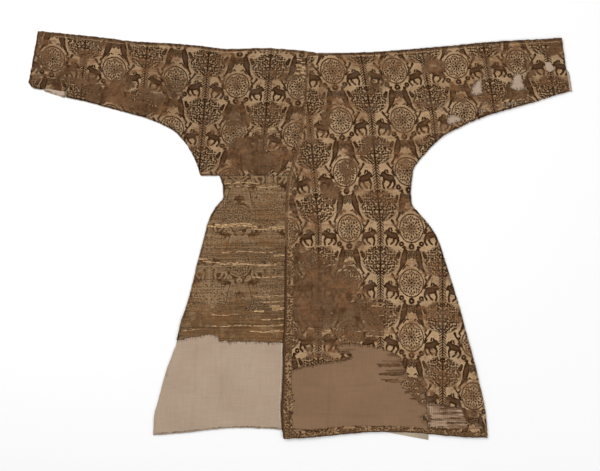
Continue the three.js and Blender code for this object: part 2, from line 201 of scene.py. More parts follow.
FOLDS_FRONT_RIGHT = rows_of(Fold, (
    (-405, 290, -230, 480, 3.0, 24),
    (-520, 450, -700, 520, 2.0, 24),
    (-350, 250, -180, 330, 2.0, 26),
))

FOLDS_SKIRT_RIGHT = rows_of(Fold, (
    (-270, 60, -330, -250, 2.5, 26),
    (-170, 30, -190, -230, 2.0, 24),
))

FOLDS_LINING_RIGHT = rows_of(Fold, (
    (-372, -400, -390, -590, 2.5, 20),
    (-300, -350, -303, -500, 2.0, 18),
))

# Sharp creases of the linings, from one place to another. The cloth is not creased; painted shade darkens its
# colour along each line.
CREASES_LINING_RIGHT = ((-381, -350, -392, -600), (-301, -345, -303, -520), (-113, -345, -112, -600))
CREASES_LEFT_SKIRT = ((-60, -470, 330, -468), (-90, -560, 200, -566), (40, -400, 30, -600))

# ---- places where the silk is torn away, and scraps of it left within them ----

TORN_LEFT_SKIRT = (
    (-88, -422), (-41, -411), (3, -402), (50, -395), (97, -389), (106, -375), (69, -366), (53, -350),
    (69, -341), (106, -339), (150, -344), (197, -352), (225, -364), (256, -378), (269, -409),
    (278, -441), (319, -453), (331, -478), (338, -522), (346, -604), (250, -598), (150, -596),
    (70, -598), (0, -606), (-78, -613), (-84, -560), (-76, -520), (-86, -470),
)

TORN_LEFT_HEM = (
    (343, -525), (356, -523), (369, -528), (391, -531), (419, -537), (445, -535), (456, -547),
    (459, -570), (473, -579), (488, -579), (506, -591), (514, -604), (403, -603), (349, -600),
)

HOLES_LEFT_SLEEVE = (
    ((484, 472), (506, 488), (512, 484), (514, 438), (481, 436), (477, 447)),
    ((612, 506), (634, 506), (647, 453), (609, 452), (598, 459)),
    ((403, 373), (431, 375), (456, 361), (438, 352), (409, 342), (403, 356)),
    ((500, 388), (525, 394), (527, 386), (503, 379)),
    ((578, 408), (612, 416), (644, 419), (644, 416), (612, 408), (581, 400)),
)

HOLE_LEFT_CUFF = ((706, 541), (728, 541), (738, 516), (723, 508), (712, 516))

RAGGED_RIGHT_SKIRT = (
    (-460, -326), (-441, -328), (-384, -318), (-338, -310), (-309, -317), (-306, -334), (-290, -327),
    (-283, -334), (-244, -331), (-162, -335), (-103, -336), (-40, -333), (20, -331), (20, -360),
    (-460, -360),
)

SCRAPS_ON_BROWN_CLOTH = (
    ((190, -403), (250, -401), (256, -409), (192, -411)),
    ((201, -430), (266, -428), (264, -437), (204, -436)),
    ((212, -452), (246, -450), (244, -458), (214, -458)),
    ((259, -458), (300, -452), (326, -470), (322, -508), (290, -503), (284, -482), (262, -474)),
    ((313, -515), (329, -514), (328, -523), (314, -523)),
    ((322, -564), (354, -560), (352, -580), (324, -576)),
)

SCRAPS_ON_RIBBED_CLOTH = (
    ((452, -538), (470, -556), (484, -574), (492, -588), (487, -606), (464, -606), (470, -588), (458, -566)),
)

# ---- where the silk's repeat lies: the middles of its roundels ----
# column: (y, x) pairs down one line of roundels. rows: the height of each row at the stations across.

REPEAT_WIDTH = 194
REPEAT_DROP = 164
SKIRT_REPEAT_WIDTH = 188

Repeat = namedtuple("Repeat", "column pitch stations rows")

LEFT_REPEAT = Repeat(
    column=((519, 44), (366, 70), (203, 84), (25, 98), (-141, 98), (-312, 98), (-500, 98)),
    pitch=REPEAT_WIDTH,
    stations=(-88, 100, 288, 475, 662),
    rows=(
        (510, 519, 517, 536, 547),
        (352, 365, 364, 389, 402),
        (181, 203, 207, 222, 231),
        (16, 24, 24, 28, 31),
        (-144, -137, -145, -153, -156),
        (-309, -306, -313, -333, -341),
        (-478, -478, -484, -498, -506),
        (-644, -644, -650, -662, -672),
    ),
)

RIGHT_REPEAT = Repeat(
    column=((470, -252), (322, -264), (172, -277)),
    pitch=REPEAT_WIDTH,
    stations=(-838, -641, -447, -252, -60),
    rows=(
        (556, 522, 491, 470, 467),
        (405, 372, 334, 322, 316),
        (250, 225, 190, 172, 166),
    ),
)

SKIRT_REPEAT = Repeat(
    column=((180, -246), (-170, -246)),
    pitch=SKIRT_REPEAT_WIDTH,
    stations=(-400, 0),
    rows=((214, 214), (58, 58), (-84, -84), (-244, -244), (-404, -404)),
)

# ---- worn places: the middle, the half sizes and how far the figures have gone ----

Worn = namedtuple("Worn", "x y half_x half_y amount")

WORN_LEFT = rows_of(Worn, (
    (12, -190, 120, 112, 1.4), (140, -262, 80, 62, 1.2), (-60, -90, 40, 60, 1.0),
    (36, 128, 34, 30, 1.2), (150, 272, 28, 34, 1.1), (222, 294, 24, 16, 0.9), (92, 200, 13, 84, 1.0),
    (26, 366, 28, 44, 1.0), (80, 270, 22, 36, 0.6), (-84, 140, 20, 60, 0.9), (176, 470, 26, 30, 1.0),
    (330, 395, 34, 18, 0.8), (430, 452, 30, 22, 0.9), (520, 420, 60, 18, 0.9), (560, 360, 60, 20, 0.9),
    (586, 575, 50, 18, 0.7), (372, 518, 26, 26, 1.1), (652, 510, 16, 100, 0.8), (-30, 500, 34, 60, 0.7),
    (-60, 330, 30, 60, 0.6), (-70, 40, 30, 60, 0.6), (225, -430, 50, 34, 1.2), (300, -500, 30, 50, 1.0),
    (420, -565, 70, 30, 1.1), (-20, -318, 90, 40, 0.85), (80, -336, 60, 26, 0.85),
    (735, 588, 34, 24, 1.2), (622, 446, 54, 20, 1.2), (508, 436, 22, 20, 1.0),
))

WORN_RIGHT = rows_of(Worn, (
    (-200, 240, 78, 56, 1.5), (-130, 222, 30, 30, 1.0), (-256, 362, 34, 42, 1.1),
    (-640, 442, 60, 30, 1.2), (-560, 410, 60, 26, 1.1), (-715, 455, 40, 40, 1.1),
    (-500, 400, 34, 36, 1.1), (-455, 440, 32, 30, 1.0), (-745, 500, 18, 80, 0.8),
    (-640, 500, 34, 24, 0.6), (-700, 560, 26, 20, 0.6), (-862, 530, 26, 70, 0.8),
    (-806, 490, 36, 44, 1.1), (-680, 600, 60, 14, 0.7), (-350, 520, 16, 60, 0.5),
    (-90, 500, 34, 26, 0.9), (-40, 380, 30, 60, 0.6), (-150, 310, 50, 30, 0.7),
    (-300, 470, 24, 20, 0.5), (-618, 472, 42, 22, 1.0), (-525, 430, 32, 42, 1.0),
    (-452, 470, 42, 22, 0.9), (-756, 520, 28, 44, 0.8),
))

WORN_SKIRT = rows_of(Worn, (
    (-200, -290, 260, 62, 1.9), (-150, 66, 210, 30, 0.9), (-200, -64, 200, 24, 0.9),
    (-90, -170, 80, 60, 0.7), (-300, -250, 150, 40, 1.5),
))

# Shreds of the silk's weft that still cling to the linings.
SHREDS_ON_BROWN = rows_of(Worn, (
    (244, -396, 48, 18, 0.75), (272, -430, 50, 30, 0.8), (300, -480, 40, 44, 0.9),
    (330, -530, 26, 40, 0.7), (346, -574, 22, 18, 0.8), (60, -352, 60, 12, 0.6),
))

SHREDS_ON_RIBBED = rows_of(Worn, (
    (440, -545, 60, 16, 0.95), (452, -580, 40, 24, 1.0), (400, -600, 60, 10, 0.8),
    (378, -560, 30, 30, 0.55), (495, -602, 30, 14, 1.1),
))

# ---- loose broken weft: its height, where it runs, how many threads, and how long and close they are ----

LooseWeft = namedtuple("LooseWeft", "y from_x to_x threads fullness")

BRIGHT_WEFT = rows_of(LooseWeft, (
    (163, -292, -182, 3, 0.5), (152, -280, -120, 2, 0.3), (34, -322, -206, 3, 1.3),
    (28, -345, -190, 4, 0.9), (20, -200, -150, 3, 0.8), (26, -152, -104, 2, 1.2),
    (20, -143, -104, 3, 1.4), (-52, -300, -130, 2, 0.6), (-64, -138, -104, 3, 1.1),
    (-76, -372, -346, 3, 1.0), (-84, -360, -300, 2, 0.7), (-88, -306, -250, 3, 0.8),
    (-92, -270, -130, 3, 1.3), (-130, -206, -104, 2, 0.5), (-190, -200, -104, 2, 0.6),
    (-208, -170, -104, 2, 0.5), (-222, -150, -120, 3, 1.0), (-231, -143, -104, 5, 1.4),
    (-236, -200, -168, 4, 0.9), (-248, -330, -250, 2, 0.5), (-262, -180, -104, 2, 0.5),
    (-283, -330, -200, 2, 0.5), (-282, -200, -106, 3, 0.9), (-300, -214, -106, 3, 1.0),
    (-296, -420, -370, 2, 0.6),
))

BRIGHT_WEFT_AT_NECK = rows_of(LooseWeft, (
    (549, -66, -50, 2, 0.5), (541, -53, -40, 2, 0.5), (533, -70, -55, 3, 0.6), (526, -50, -40, 2, 0.5),
    (519, -66, -52, 2, 0.6), (511, -55, -42, 2, 0.4), (504, -68, -58, 2, 0.4),
))

BRIGHT_WEFT_ON_LEFT = rows_of(LooseWeft, (
    (72, 10, 50, 2, 0.4), (-34, -40, 52, 1, 0.6), (-64, 14, 60, 1, 0.4), (-212, 180, 202, 1, 1.0),
    (-222, 168, 200, 2, 0.9), (-300, 120, 204, 1, 0.6), (-316, 150, 212, 2, 0.5),
    (-250, 190, 260, 1, 0.4), (-190, 206, 230, 1, 0.5),
))

DARK_WEFT_ON_BROWN = rows_of(LooseWeft, (
    (-362, 60, 104, 2, 0.8), (-404, 184, 256, 4, 1.0), (-420, 212, 262, 2, 0.7),
    (-433, 190, 270, 5, 1.1), (-450, 196, 252, 3, 0.9), (-458, 262, 300, 3, 0.8),
    (-476, 262, 320, 4, 0.8), (-492, 270, 326, 4, 0.8), (-512, 292, 330, 3, 0.7),
    (-519, 312, 334, 4, 0.8),
))

DARK_WEFT_ON_RIBBED = rows_of(LooseWeft, (
    (-530, 348, 420, 2, 0.6), (-541, 381, 470, 2, 1.1), (-556, 381, 462, 3, 1.1),
    (-574, 345, 444, 3, 1.0), (-587, 400, 466, 4, 1.1), (-597, 352, 392, 2, 0.7),
))

# ---- a panel's cut, flat: the box that it fills and its area, in metres; nothing here uses it ----

Cut = namedtuple("Cut", "width length area")

# ---- how the layers lie, wear and tear ----

NOISE_SEED = 3                  # without it, each run would wear and tear the cloth another way
ROLL_SPACING = (85, 110)        # the slow unevenness, across and along
ROLL_RISE = 0.8
RIPPLE_SPACING = (26, 34)
RIPPLE_RISE = 0.25
LAID_RISE = 1.0                 # keeps the unevenness above zero
PULL_SPACING = (9.0, 9.0)
PULL_REACH = 1.6
WANDER_SPACING = (55, 45)       # how the borders of worn places wander,
WANDER_REACH = 34
FRET_SPACING = (18, 12)         # and how they are fretted
FRET_REACH = 12
WEAR_CORE = 2.0                 # the middle of a worn place is wholly worn,
WEAR_FALL = 1.4                 # and its wear falls off towards its border
RIM_SPACING = 3.0               # between points kept along an outline
EDGE_REACH = 14.0               # edges are soiled and darkened with painted shade this far in
SEAM_QUIET = 4.5                # inner seams are only as dark as a place this far from the outline
EDGE_TUCK = 0.5                 # edges dip this deep,
TUCK_REACH = 5                  # from this far in
# Painted shade fades out this far from a creased line.
CREASE_SHADE_REACH = 9.0
TEAR_REACH = 9.0                # cloth is split finely this near a tear
TEAR_CUTS = 3
TEAR_WAVE = 11.0                # spacings of a tear's wandering
TEAR_GRIT = 3.0
SHRED_SPACING = (30, 3.5)
SHRED_LENGTH = 2.2              # how much further a tear wanders along the weft

noise.seed_set(NOISE_SEED)


def limited(value, low=0.0, high=1.0):
    return max(low, min(high, value))


def calm_slope(before, after):
    """A slope that never overshoots, so corners of an outline stay corners."""
    if before * after <= 0:
        return 0.0
    return 2 * before * after / (before + after)


def section_at(table, t):
    """The section at a place between rows, on a curve through all of them."""
    last = len(table) - 1
    index = min(int(t), last - 1)
    u = t - index
    before, start, end, after = (table[limited(index + i, 0, last)] for i in (-1, 0, 1, 2))
    values = []
    for column in range(len(start)):
        rise = end[column] - start[column]
        start_slope = calm_slope(start[column] - before[column], rise) if index > 0 else rise
        end_slope = calm_slope(rise, after[column] - end[column]) if index + 2 <= last else rise
        values.append(
            start[column] * (2 * u**3 - 3 * u**2 + 1)
            + end[column] * (3 * u**2 - 2 * u**3)
            + start_slope * (u**3 - 2 * u**2 + u)
            + end_slope * (u**3 - u**2)
        )
    return Section(*values)


def overlap_rise(x):
    """How far the left front stands up where it lies on the right."""
    down = limited((x - OVERLAP_EDGE) / (OVERLAP_FOOT - OVERLAP_EDGE))
    return OVERLAP_RISE * (1 - down)


def beside(line, x, y):
    """A place's share of the way along a line, and its distance to one side of it."""
    from_x, from_y, to_x, to_y = line[:4]
    run_x, run_y = to_x - from_x, to_y - from_y
    length = math.hypot(run_x, run_y)
    along = ((x - from_x) * run_x + (y - from_y) * run_y) / length**2
    across = ((x - from_x) * run_y - (y - from_y) * run_x) / length
    return along, across


def fold_rise(folds, x, y):
    rise = 0.0
    for fold in folds:
        along, across = beside(fold, x, y)
        if 0 < along < 1:
            rise += fold.rise * math.sin(math.pi * along) ** 2 * math.exp(-((across / fold.spread) ** 2))
    return rise


def crease_shade_at(creases, x, y):
    """How much painted shade lies along the creased lines: 1 on a line, and 0 from a little way off it."""
    depth = 0.0
    for crease_shade in creases:
        along, across = beside(crease_shade, x, y)
        if 0 < along < 1:
            depth = max(depth, 1 - abs(across) / CREASE_SHADE_REACH)
    return depth


def noise_place(x, y, spacing, layer):
    """Where to read a noise whose hills lie so far apart; each use has a layer of its own."""
    return Vector((x / spacing[0], y / spacing[1], layer))


def crumple(x, y):
    """The slow unevenness that all layers share, never below zero."""
    roll = noise.noise(noise_place(x, y, ROLL_SPACING, 0.3))
    ripple = noise.noise(noise_place(x, y, RIPPLE_SPACING, 7.1))
    return LAID_RISE + ROLL_RISE * roll + RIPPLE_RISE * ripple


def drawn_aside(x, y):
    """How far the weave has been pulled out of true, the same for all layers."""
    place = noise_place(x, y, PULL_SPACING, 3.3)
    return noise.noise(place) * PULL_REACH, noise.noise(place + Vector((0, 0, 9.0))) * PULL_REACH


def wear_at(places, x, y):
    """How far the figures have gone, with borders that wander."""
    wander = noise.noise_vector(noise_place(x, y, WANDER_SPACING, 5.0)) * WANDER_REACH
    wander += noise.noise_vector(noise_place(x, y, FRET_SPACING, 8.0)) * FRET_REACH
    x += wander.x
    y += wander.y
    wear = 0.0
    for place in places:
        reach = math.hypot((x - place.x) / place.half_x, (y - place.y) / place.half_y)
        wear = max(wear, place.amount * limited(WEAR_CORE - WEAR_FALL * reach))
    return wear


def inside(outline, x, y):
    crossings = 0
    ends = outline[1:] + outline[:1]
    for (x0, y0), (x1, y1) in zip(outline, ends):
        if (y0 > y) != (y1 > y) and x < x0 + (x1 - x0) * (y - y0) / (y1 - y0):
            crossings += 1
    return crossings % 2 == 1


def place_tree(points):
    """Finds the nearest of these places, seen from above."""
    tree = kdtree.KDTree(len(points))
    for index, point in enumerate(points):
        tree.insert((point[0], point[1], 0.0), index)
    tree.balance()
    return tree


def outline_tree(outlines):
    points = []
    for outline in outlines:
        for (x0, y0), (x1, y1) in zip(outline, outline[1:] + outline[:1]):
            count = max(1, int(math.hypot(x1 - x0, y1 - y0) / RIM_SPACING))
            for i in range(count):
                points.append((x0 + (x1 - x0) * i / count, y0 + (y1 - y0) * i / count))
    return place_tree(points)


def rim_tree(bm):
    """The cloth's own cut edges, before it is torn."""
    points = []
    for edge in bm.edges:
        if edge.is_boundary:
            points.append(edge.verts[0].co)
            points.append((edge.verts[0].co + edge.verts[1].co) / 2)
    return place_tree(points)


def merged_node(name):
    """A copy of a solid's mesh, with its loose triangles joined."""
    bm = bmesh.new()
    bm.from_mesh(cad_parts[name].data)
    bmesh.ops.remove_doubles(bm, verts=bm.verts[:], dist=1e-6)
    return bm


def coat_edge_tree():
    """Points along the whole coat's outline, from the back panel's side walls."""
    bm = merged_node("back")
    points = []
    for edge in bm.edges:
        upright = [face for face in edge.link_faces if abs(face.normal.z) < 0.5]
        if len(upright) == 1:
            start, end = (vert.co / MM for vert in edge.verts)
            count = max(1, int((end - start).length / RIM_SPACING))
            points += [start.lerp(end, i / count) for i in range(count)]
    bm.free()
    return place_tree(points)


COAT_EDGE = coat_edge_tree()


def between(pairs, at):
    """The value at a place along (place, value) pairs, carried on past both ends."""
    index = 0
    rising = pairs[-1][0] > pairs[0][0]
    while index < len(pairs) - 2 and (at > pairs[index + 1][0]) == rising:
        index += 1
    (x0, y0), (x1, y1) = pairs[index], pairs[index + 1]
    return y0 + (y1 - y0) * (at - x0) / (x1 - x0)


def repeat_at(repeat, x, y):
    """How many repeats a place is from the first roundel, across and down."""
    across = (x - between(repeat.column, y)) / repeat.pitch
    station = limited(x, repeat.stations[0], repeat.stations[-1])
    heights = [between(tuple(zip(repeat.stations, row)), station) for row in repeat.rows]
    down = between(tuple((height, index) for index, height in enumerate(heights)), y)
    return across, down


# ---- panels of cloth ----

Finish = namedtuple("Finish", "material slot")


@dataclass
class Panel:
    """One cut of cloth. A band fills a span of another panel's sections, in millimetres; 0 is their end."""

    name: str
    finish: Finish
    table: tuple
    columns: int                # faces across a section,
    steps: int = 10             # and from one section to the next
    folds: tuple = ()
    overlaps: bool = False      # the left front's layers lie on the right ones
    wall: float = SILK
    torn: tuple = ()
    kept: tuple = ()            # scraps that are left within the tears
    ragged: float = 3.0
    repeat: Repeat = None
    worn: tuple = ()
    creases: tuple = ()
    first_row: float = 0.0      # where a band starts, counted in sections
    span: tuple = ()
    raised: float = 0.0         # how far a band lies above the panel's own lining
    upright: bool = False       # a band that runs from the neck to the hem


def section_share(panel, section, share):
    """A panel spans its whole section, and a band only its own span of it."""
    if not panel.span:
        return share
    start, end = panel.span
    width = section.outer_x - section.inner_x
    first = start / width
    last = end / width if end else 1
    return first + (last - first) * share


def spread_grid(bm, panel):
    """Lays a grid over the panel's sections, and keeps its lift and its places across in layers."""
    last_row = len(panel.table) - 1
    rows = max(1, round((last_row - panel.first_row) * panel.steps))
    bmesh.ops.create_grid(bm, x_segments=panel.columns, y_segments=rows, size=1.0)
    lift_layer = bm.verts.layers.float.new("lift")
    across_layer = bm.verts.layers.float.new("across")
    fold_layer = bm.verts.layers.float.new("fold")
    sections = {}
    for vert in bm.verts:
        row = round((vert.co.y + 1) / 2 * rows)
        if row not in sections:
            t = panel.first_row + (last_row - panel.first_row) * row / rows
            sections[row] = section_at(panel.table, t)
        section = sections[row]
        column = (vert.co.x + 1) / 2
        vert[across_layer] = column if panel.upright else 1 - row / rows
        share = section_share(panel, section, column)
        reach = math.hypot(section.outer_x - section.inner_x, section.outer_y - section.inner_y)
        vert[fold_layer] = min(1.0, share * reach / EDGE_REACH)
        x = section.inner_x + (section.outer_x - section.inner_x) * share
        y = section.inner_y + (section.outer_y - section.inner_y) * share
        y += section.bow * math.sin(math.pi * share) ** 2
        lift = FIRST_PLY + section.linings * LINING_RISE + panel.wall + panel.raised
        vert[lift_layer] = lift + (overlap_rise(x) if panel.overlaps else 0.0)
        vert.co = (x, y, 0.0)
    bm.normal_update()
    if next(iter(bm.faces)).normal.z < 0:
        bmesh.ops.reverse_faces(bm, faces=bm.faces[:])


def tear(bm, panel):
    """Splits the cloth finely near each torn outline and takes away what lies within it."""
    near = outline_tree(panel.torn + panel.kept)
    reach = TEAR_REACH + panel.ragged
    close = [face for face in bm.faces if near.find(face.calc_center_median())[2] < reach]
    edges = list({edge for face in close for edge in face.edges})
    bmesh.ops.subdivide_edges(bm, edges=edges, cuts=TEAR_CUTS, use_grid_fill=True)
    lost = []
    for face in bm.faces:
        middle = face.calc_center_median()
        shift = noise.noise_vector(middle / TEAR_WAVE) * panel.ragged + noise.noise_vector(middle / TEAR_GRIT)
        shred = noise.noise(noise_place(middle.x, middle.y, SHRED_SPACING, 2.0))
        x = middle.x + shift.x + shred * panel.ragged * SHRED_LENGTH
        y = middle.y + shift.y
        if any(inside(outline, x, y) for outline in panel.torn):
            if not any(inside(outline, x, y) for outline in panel.kept):
                lost.append(face)
    bmesh.ops.delete(bm, geom=lost, context="FACES")


def settle(bm, panel, rim):
    """Gives each point its height, its wear, its distance from an edge and its place in the repeat."""
    layers = bm.verts.layers.float
    lift_layer = layers["lift"]
    across_layer = layers["across"]
    edge_layer = layers.new("edge")
    wear_layer = layers.new("wear")
    crease_shade_layer = layers.new("crease_shade")
    places = {}
    for vert in bm.verts:
        x, y = vert.co.x, vert.co.y
        from_edge = rim.find(vert.co)[2]
        from_outline = COAT_EDGE.find(vert.co)[2]
        vert[edge_layer] = min(EDGE_REACH, from_outline, SEAM_QUIET + from_edge) / EDGE_REACH
        vert[wear_layer] = wear_at(panel.worn, x, y)
        vert[crease_shade_layer] = crease_shade_at(panel.creases, x, y)
        places[vert] = repeat_at(panel.repeat, x, y) if panel.repeat else (vert[across_layer], 0.0)
        tuck = EDGE_TUCK * max(0.0, 1 - from_edge / TUCK_REACH) ** 2
        shift_x, shift_y = drawn_aside(x, y)
        vert.co.x = x + shift_x
        vert.co.y = y + shift_y
        vert.co.z = vert[lift_layer] + fold_rise(panel.folds, x, y) + crumple(x, y) - tuck
    uv_layer = bm.loops.layers.uv.new("repeat")
    for face in bm.faces:
        for loop in face.loops:
            loop[uv_layer].uv = places[loop.vert]


def add_object(name, data):
    made = bpy.data.objects.new(name, data)
    bpy.context.scene.collection.objects.link(made)
    return made


def add_mesh(name, bm, materials):
    mesh = bpy.data.meshes.new(name)
    bm.to_mesh(mesh)
    bm.free()
    for material in materials:
        mesh.materials.append(material)
    return add_object(name, mesh)


def make_piece(name, bm, materials):
    piece = add_mesh(name, bm, materials)
    for polygon in piece.data.polygons:
        polygon.use_smooth = True
    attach(piece, "root")
    return piece


def lay_cloth(panel):
    bm = bmesh.new()
    spread_grid(bm, panel)
    rim = rim_tree(bm)
    if panel.torn:
        tear(bm, panel)
    settle(bm, panel, rim)
    bmesh.ops.scale(bm, vec=(MM, MM, MM), verts=bm.verts[:])
    piece = make_piece(panel.name + "_cloth", bm, [panel.finish.material])
    wall = piece.modifiers.new("wall", "SOLIDIFY")
    wall.thickness = CLOTH_SHOWN * MM
    wall.offset = -1
    wall.use_rim = True
    return piece


# ---- shader maths ----


class Value:
    """Wraps a socket, so that Python operators add Math nodes."""

    def __init__(self, paint, socket):
        self.paint = paint
        self.socket = socket

    def __add__(self, other):
        return self.paint.math("ADD", self, other)

    def __sub__(self, other):
        return self.paint.math("SUBTRACT", self, other)

    def __rsub__(self, other):
        return self.paint.math("SUBTRACT", other, self)

    def __mul__(self, other):
        return self.paint.math("MULTIPLY", self, other)

    def __abs__(self):
        return self.paint.math("ABSOLUTE", self)

    def __neg__(self):
        return self * -1.0

    __radd__ = __add__
    __rmul__ = __mul__


class Paint:
    """A material and the nodes that colour it."""

    def __init__(self, name):
        self.material = bpy.data.materials.new(name)
        self.material.use_nodes = True
        self.tree = self.material.node_tree
        self.shader = self.tree.nodes["Principled BSDF"]

    def feed(self, socket, value):
        if isinstance(value, Value):
            self.tree.links.new(value.socket, socket)
        else:
            socket.default_value = value

    def node(self, kind, settings=None, inputs=None, output=0):
        made = self.tree.nodes.new(kind)
        for key, value in (settings or {}).items():
            setattr(made, key, value)
        for key, value in (inputs or {}).items():
            self.feed(made.inputs[key], value)
        return Value(self, made.outputs[output])

    def math(self, operation, first, second=0.0, clamp=False):
        settings = {"operation": operation, "use_clamp": clamp}
        return self.node("ShaderNodeMath", settings, {0: first, 1: second})

    def least(self, *values):
        return reduce(lambda first, second: self.math("MINIMUM", first, second), values)

    def most(self, *values):
        return reduce(lambda first, second: self.math("MAXIMUM", first, second), values)

    def back_and_forth(self, value, reach):
        return self.math("PINGPONG", value, reach)

    def step(self, value, low, high):
        """0 below low, 1 above high, smooth between; the other way round where low is above high."""
        ends = {1: low, 2: high} if low < high else {1: high, 2: low, 3: 1.0, 4: 0.0}
        return self.node("ShaderNodeMapRange", {"interpolation_type": "SMOOTHSTEP"}, {0: value, **ends})

    def vector(self, operation, first, second=(0.0, 0.0, 0.0), output=0):
        return self.node("ShaderNodeVectorMath", {"operation": operation}, {0: first, 1: second}, output)

    def length(self, vector):
        return self.vector("LENGTH", vector, output=1)

    def distance(self, first, second):
        return self.vector("DISTANCE", first, second, output=1)

    def pair(self, x, y):
        return self.node("ShaderNodeCombineXYZ", None, {0: x, 1: y})

    def parts(self, vector):
        split = self.tree.nodes.new("ShaderNodeSeparateXYZ")
        self.feed(split.inputs[0], vector)
        return [Value(self, output) for output in split.outputs]

    def mix(self, share, first, second, blend="MIX"):
        settings = {"data_type": "RGBA", "blend_type": blend}
        return self.node("ShaderNodeMix", settings, {0: share, 6: first, 7: second}, 2)

    def place(self):
        return self.node("ShaderNodeTexCoord", output=3)

    def repeat(self):
        return self.node("ShaderNodeUVMap", {"uv_map": "repeat"})

    def attribute(self, name):
        return self.node("ShaderNodeAttribute", {"attribute_name": name}, output=2)

    def noise(self, across, along, detail=2.0, shift=0.0, rough=0.5):
        """Soft noise from 0 to 1, with a scale in 1/m across the cloth and one along it."""
        stretched = self.vector("MULTIPLY", self.place(), (across, along, 1.0))
        moved = self.vector("ADD", stretched, (shift, shift, shift))
        return self.node(
            "ShaderNodeTexNoise",
            {"noise_dimensions": "2D"},
            {"Vector": moved, "Scale": 1.0, "Detail": detail, "Roughness": rough},
        )

    def finish(self, color, roughness, height, depth):
        bump = self.node("ShaderNodeBump", None, {"Strength": 1.0, "Distance": depth, "Height": height})
        looks = {
            "Base Color": color,
            "Roughness": roughness,
            "Normal": bump,
            "Sheen Weight": 0.02,
            "Sheen Roughness": 0.5,
            "Specular IOR Level": 0.05,
        }
        for name, value in looks.items():
            self.feed(self.shader.inputs[name], value)
        return self.material


def tint(red, green, blue):
    """A linear colour from its 0 to 255 display values."""
    def linear(value):
        share = value / 255
        return share / 12.92 if share <= 0.04045 else ((share + 0.055) / 1.055) ** 2.4
    return (linear(red), linear(green), linear(blue), 1.0)


# ---- the silk's figures, drawn in units of 1/62.5 of the repeat's width ----
# x runs from the roundels' line at 0 to the trees' line at 31.25. y runs down, for rosettes, stalks
# and beasts from the roundel's middle, and for birds and crowns from the middle of the next one below.
# Each measure says how far a place is outside a figure, and is negative within it.

DRAWN_WIDTH = 62.5
DRAWN_HEIGHT = 52.0
TREE_LINE = DRAWN_WIDTH / 2
HALF_DARK = -0.05               # a distance that is drawn half way from ground to figure
RAGGED_LINES = 2.0              # how far the weave's steps move the figures' outlines

ROUNDEL_HALF_WIDTH = 11.9
ROUNDEL_HALF_HEIGHT = 13.2
ROUNDEL_DROP = 1.6              # its middle lies this far down
RING_HALF_LINE = 0.42
HEART_RADIUS = 4.6
HEART_TONE = HALF_DARK + 0.28
EYE_SHARE = 0.28                # of a rosette's radius

CROWN_MIDDLE = -19.8
CROWN_HALF_WIDTH = 18.2
CROWN_HALF_HEIGHT = 14.4
LEAF_PITCH = 2.35
LEAF_RADIUS = 0.94
LEAF_SCATTER = 0.55
BRANCH_PITCH = 3.4
BRANCH_HALF_LINE = 0.5
BRANCH_REACH = 6.5
BRANCH_RISE = 0.9
BRANCH_BEND = 0.03
TRUNK_HALF = 1.0
TRUNK_TOP = -34.0
TRUNK_FOOT = -7.0

STEM_HALF = 0.6
STEM_TOP = -9.0
STEM_FOOT = 17.0
BEAD_HALF_PITCH = 1.3
BEAD_HALF = 0.62
BEAD_REACH = 3.4

PERCH_TOP = -29.4               # the perch that two birds share, above the roundel
PERCH_FOOT = -21.0
PERCH_HALF = 6.0
PERCH_POINT = 2.4

Disc = namedtuple("Disc", "x y radius")
Limb = namedtuple("Limb", "from_x from_y from_radius to_x to_y to_radius")

ROSETTES = rows_of(Disc, (
    (0, 18.9, 3.0), (10.0, 16.2, 2.5),
))

STALKS = rows_of(Limb, (
    (0, 14.6, 0.6, 0, 17.0, 0.6), (2.6, -14.9, 0.4, 4.4, -15.6, 0.7),
    (6.0, -14.6, 0.7, 8.4, -11.6, 0.5), (19.2, -6.0, 1.2, 17.6, -3.0, 0.7),
    (17.6, -3.0, 0.7, 14.6, 1.0, 0.7), (14.6, 1.0, 0.8, 12.4, 6.0, 0.7),
    (14.6, -1.6, 0.9, 13.8, -3.0, 0.6),
))

BEAST = rows_of(Limb, (
    (16.6, 8.2, 3.1, 21.4, 7.2, 3.2), (22.4, 6.2, 3.1, 24.0, 4.8, 2.5),
    (24.4, 4.0, 2.0, 26.8, 5.8, 1.2), (22.8, 2.6, 1.2, 22.2, 0.8, 0.6),
    (13.4, 5.6, 0.9, 15.6, 2.6, 0.6), (19.6, 3.0, 0.7, 20.4, 1.0, 0.8),
    (14.2, 10.0, 1.6, 13.2, 13.6, 0.9), (13.2, 13.6, 0.8, 15.6, 17.0, 0.9),
    (17.2, 10.8, 1.2, 18.4, 14.2, 0.8), (18.4, 14.2, 0.7, 21.0, 16.4, 0.8),
    (23.6, 9.0, 1.4, 25.4, 12.6, 0.8), (25.4, 12.6, 0.8, 24.4, 16.8, 0.9),
))

BIRD_HEAD_AND_BEAD = rows_of(Disc, (
    (7.0, -32.4, 1.5), (27.6, -7.0, 0.9),
))

BIRD = rows_of(Limb, (
    (12.0, -27.6, 1.3, 14.0, -23.4, 1.9), (7.6, -32.6, 0.8, 9.2, -32.4, 0.4),
    (6.8, -31.4, 1.0, 6.4, -28.6, 2.0), (6.4, -28.2, 2.5, 7.6, -22.0, 3.3),
    (7.6, -22.0, 3.3, 9.2, -15.6, 2.3), (9.2, -15.6, 2.0, 12.0, -10.4, 1.1),
    (12.0, -10.4, 0.9, 14.6, -6.4, 0.8), (14.6, -6.2, 0.7, 13.2, -4.8, 0.6),
))

# Pale drops within the tree's crown, where the ground shows.
DROPS_IN_CROWN = rows_of(Limb, (
    (28.6, -20.4, 1.0, 28.0, -22.2, 0.5), (29.0, -28.0, 1.0, 28.2, -29.4, 0.5),
    (28.6, -13.4, 0.9, 27.6, -14.8, 0.5),
))

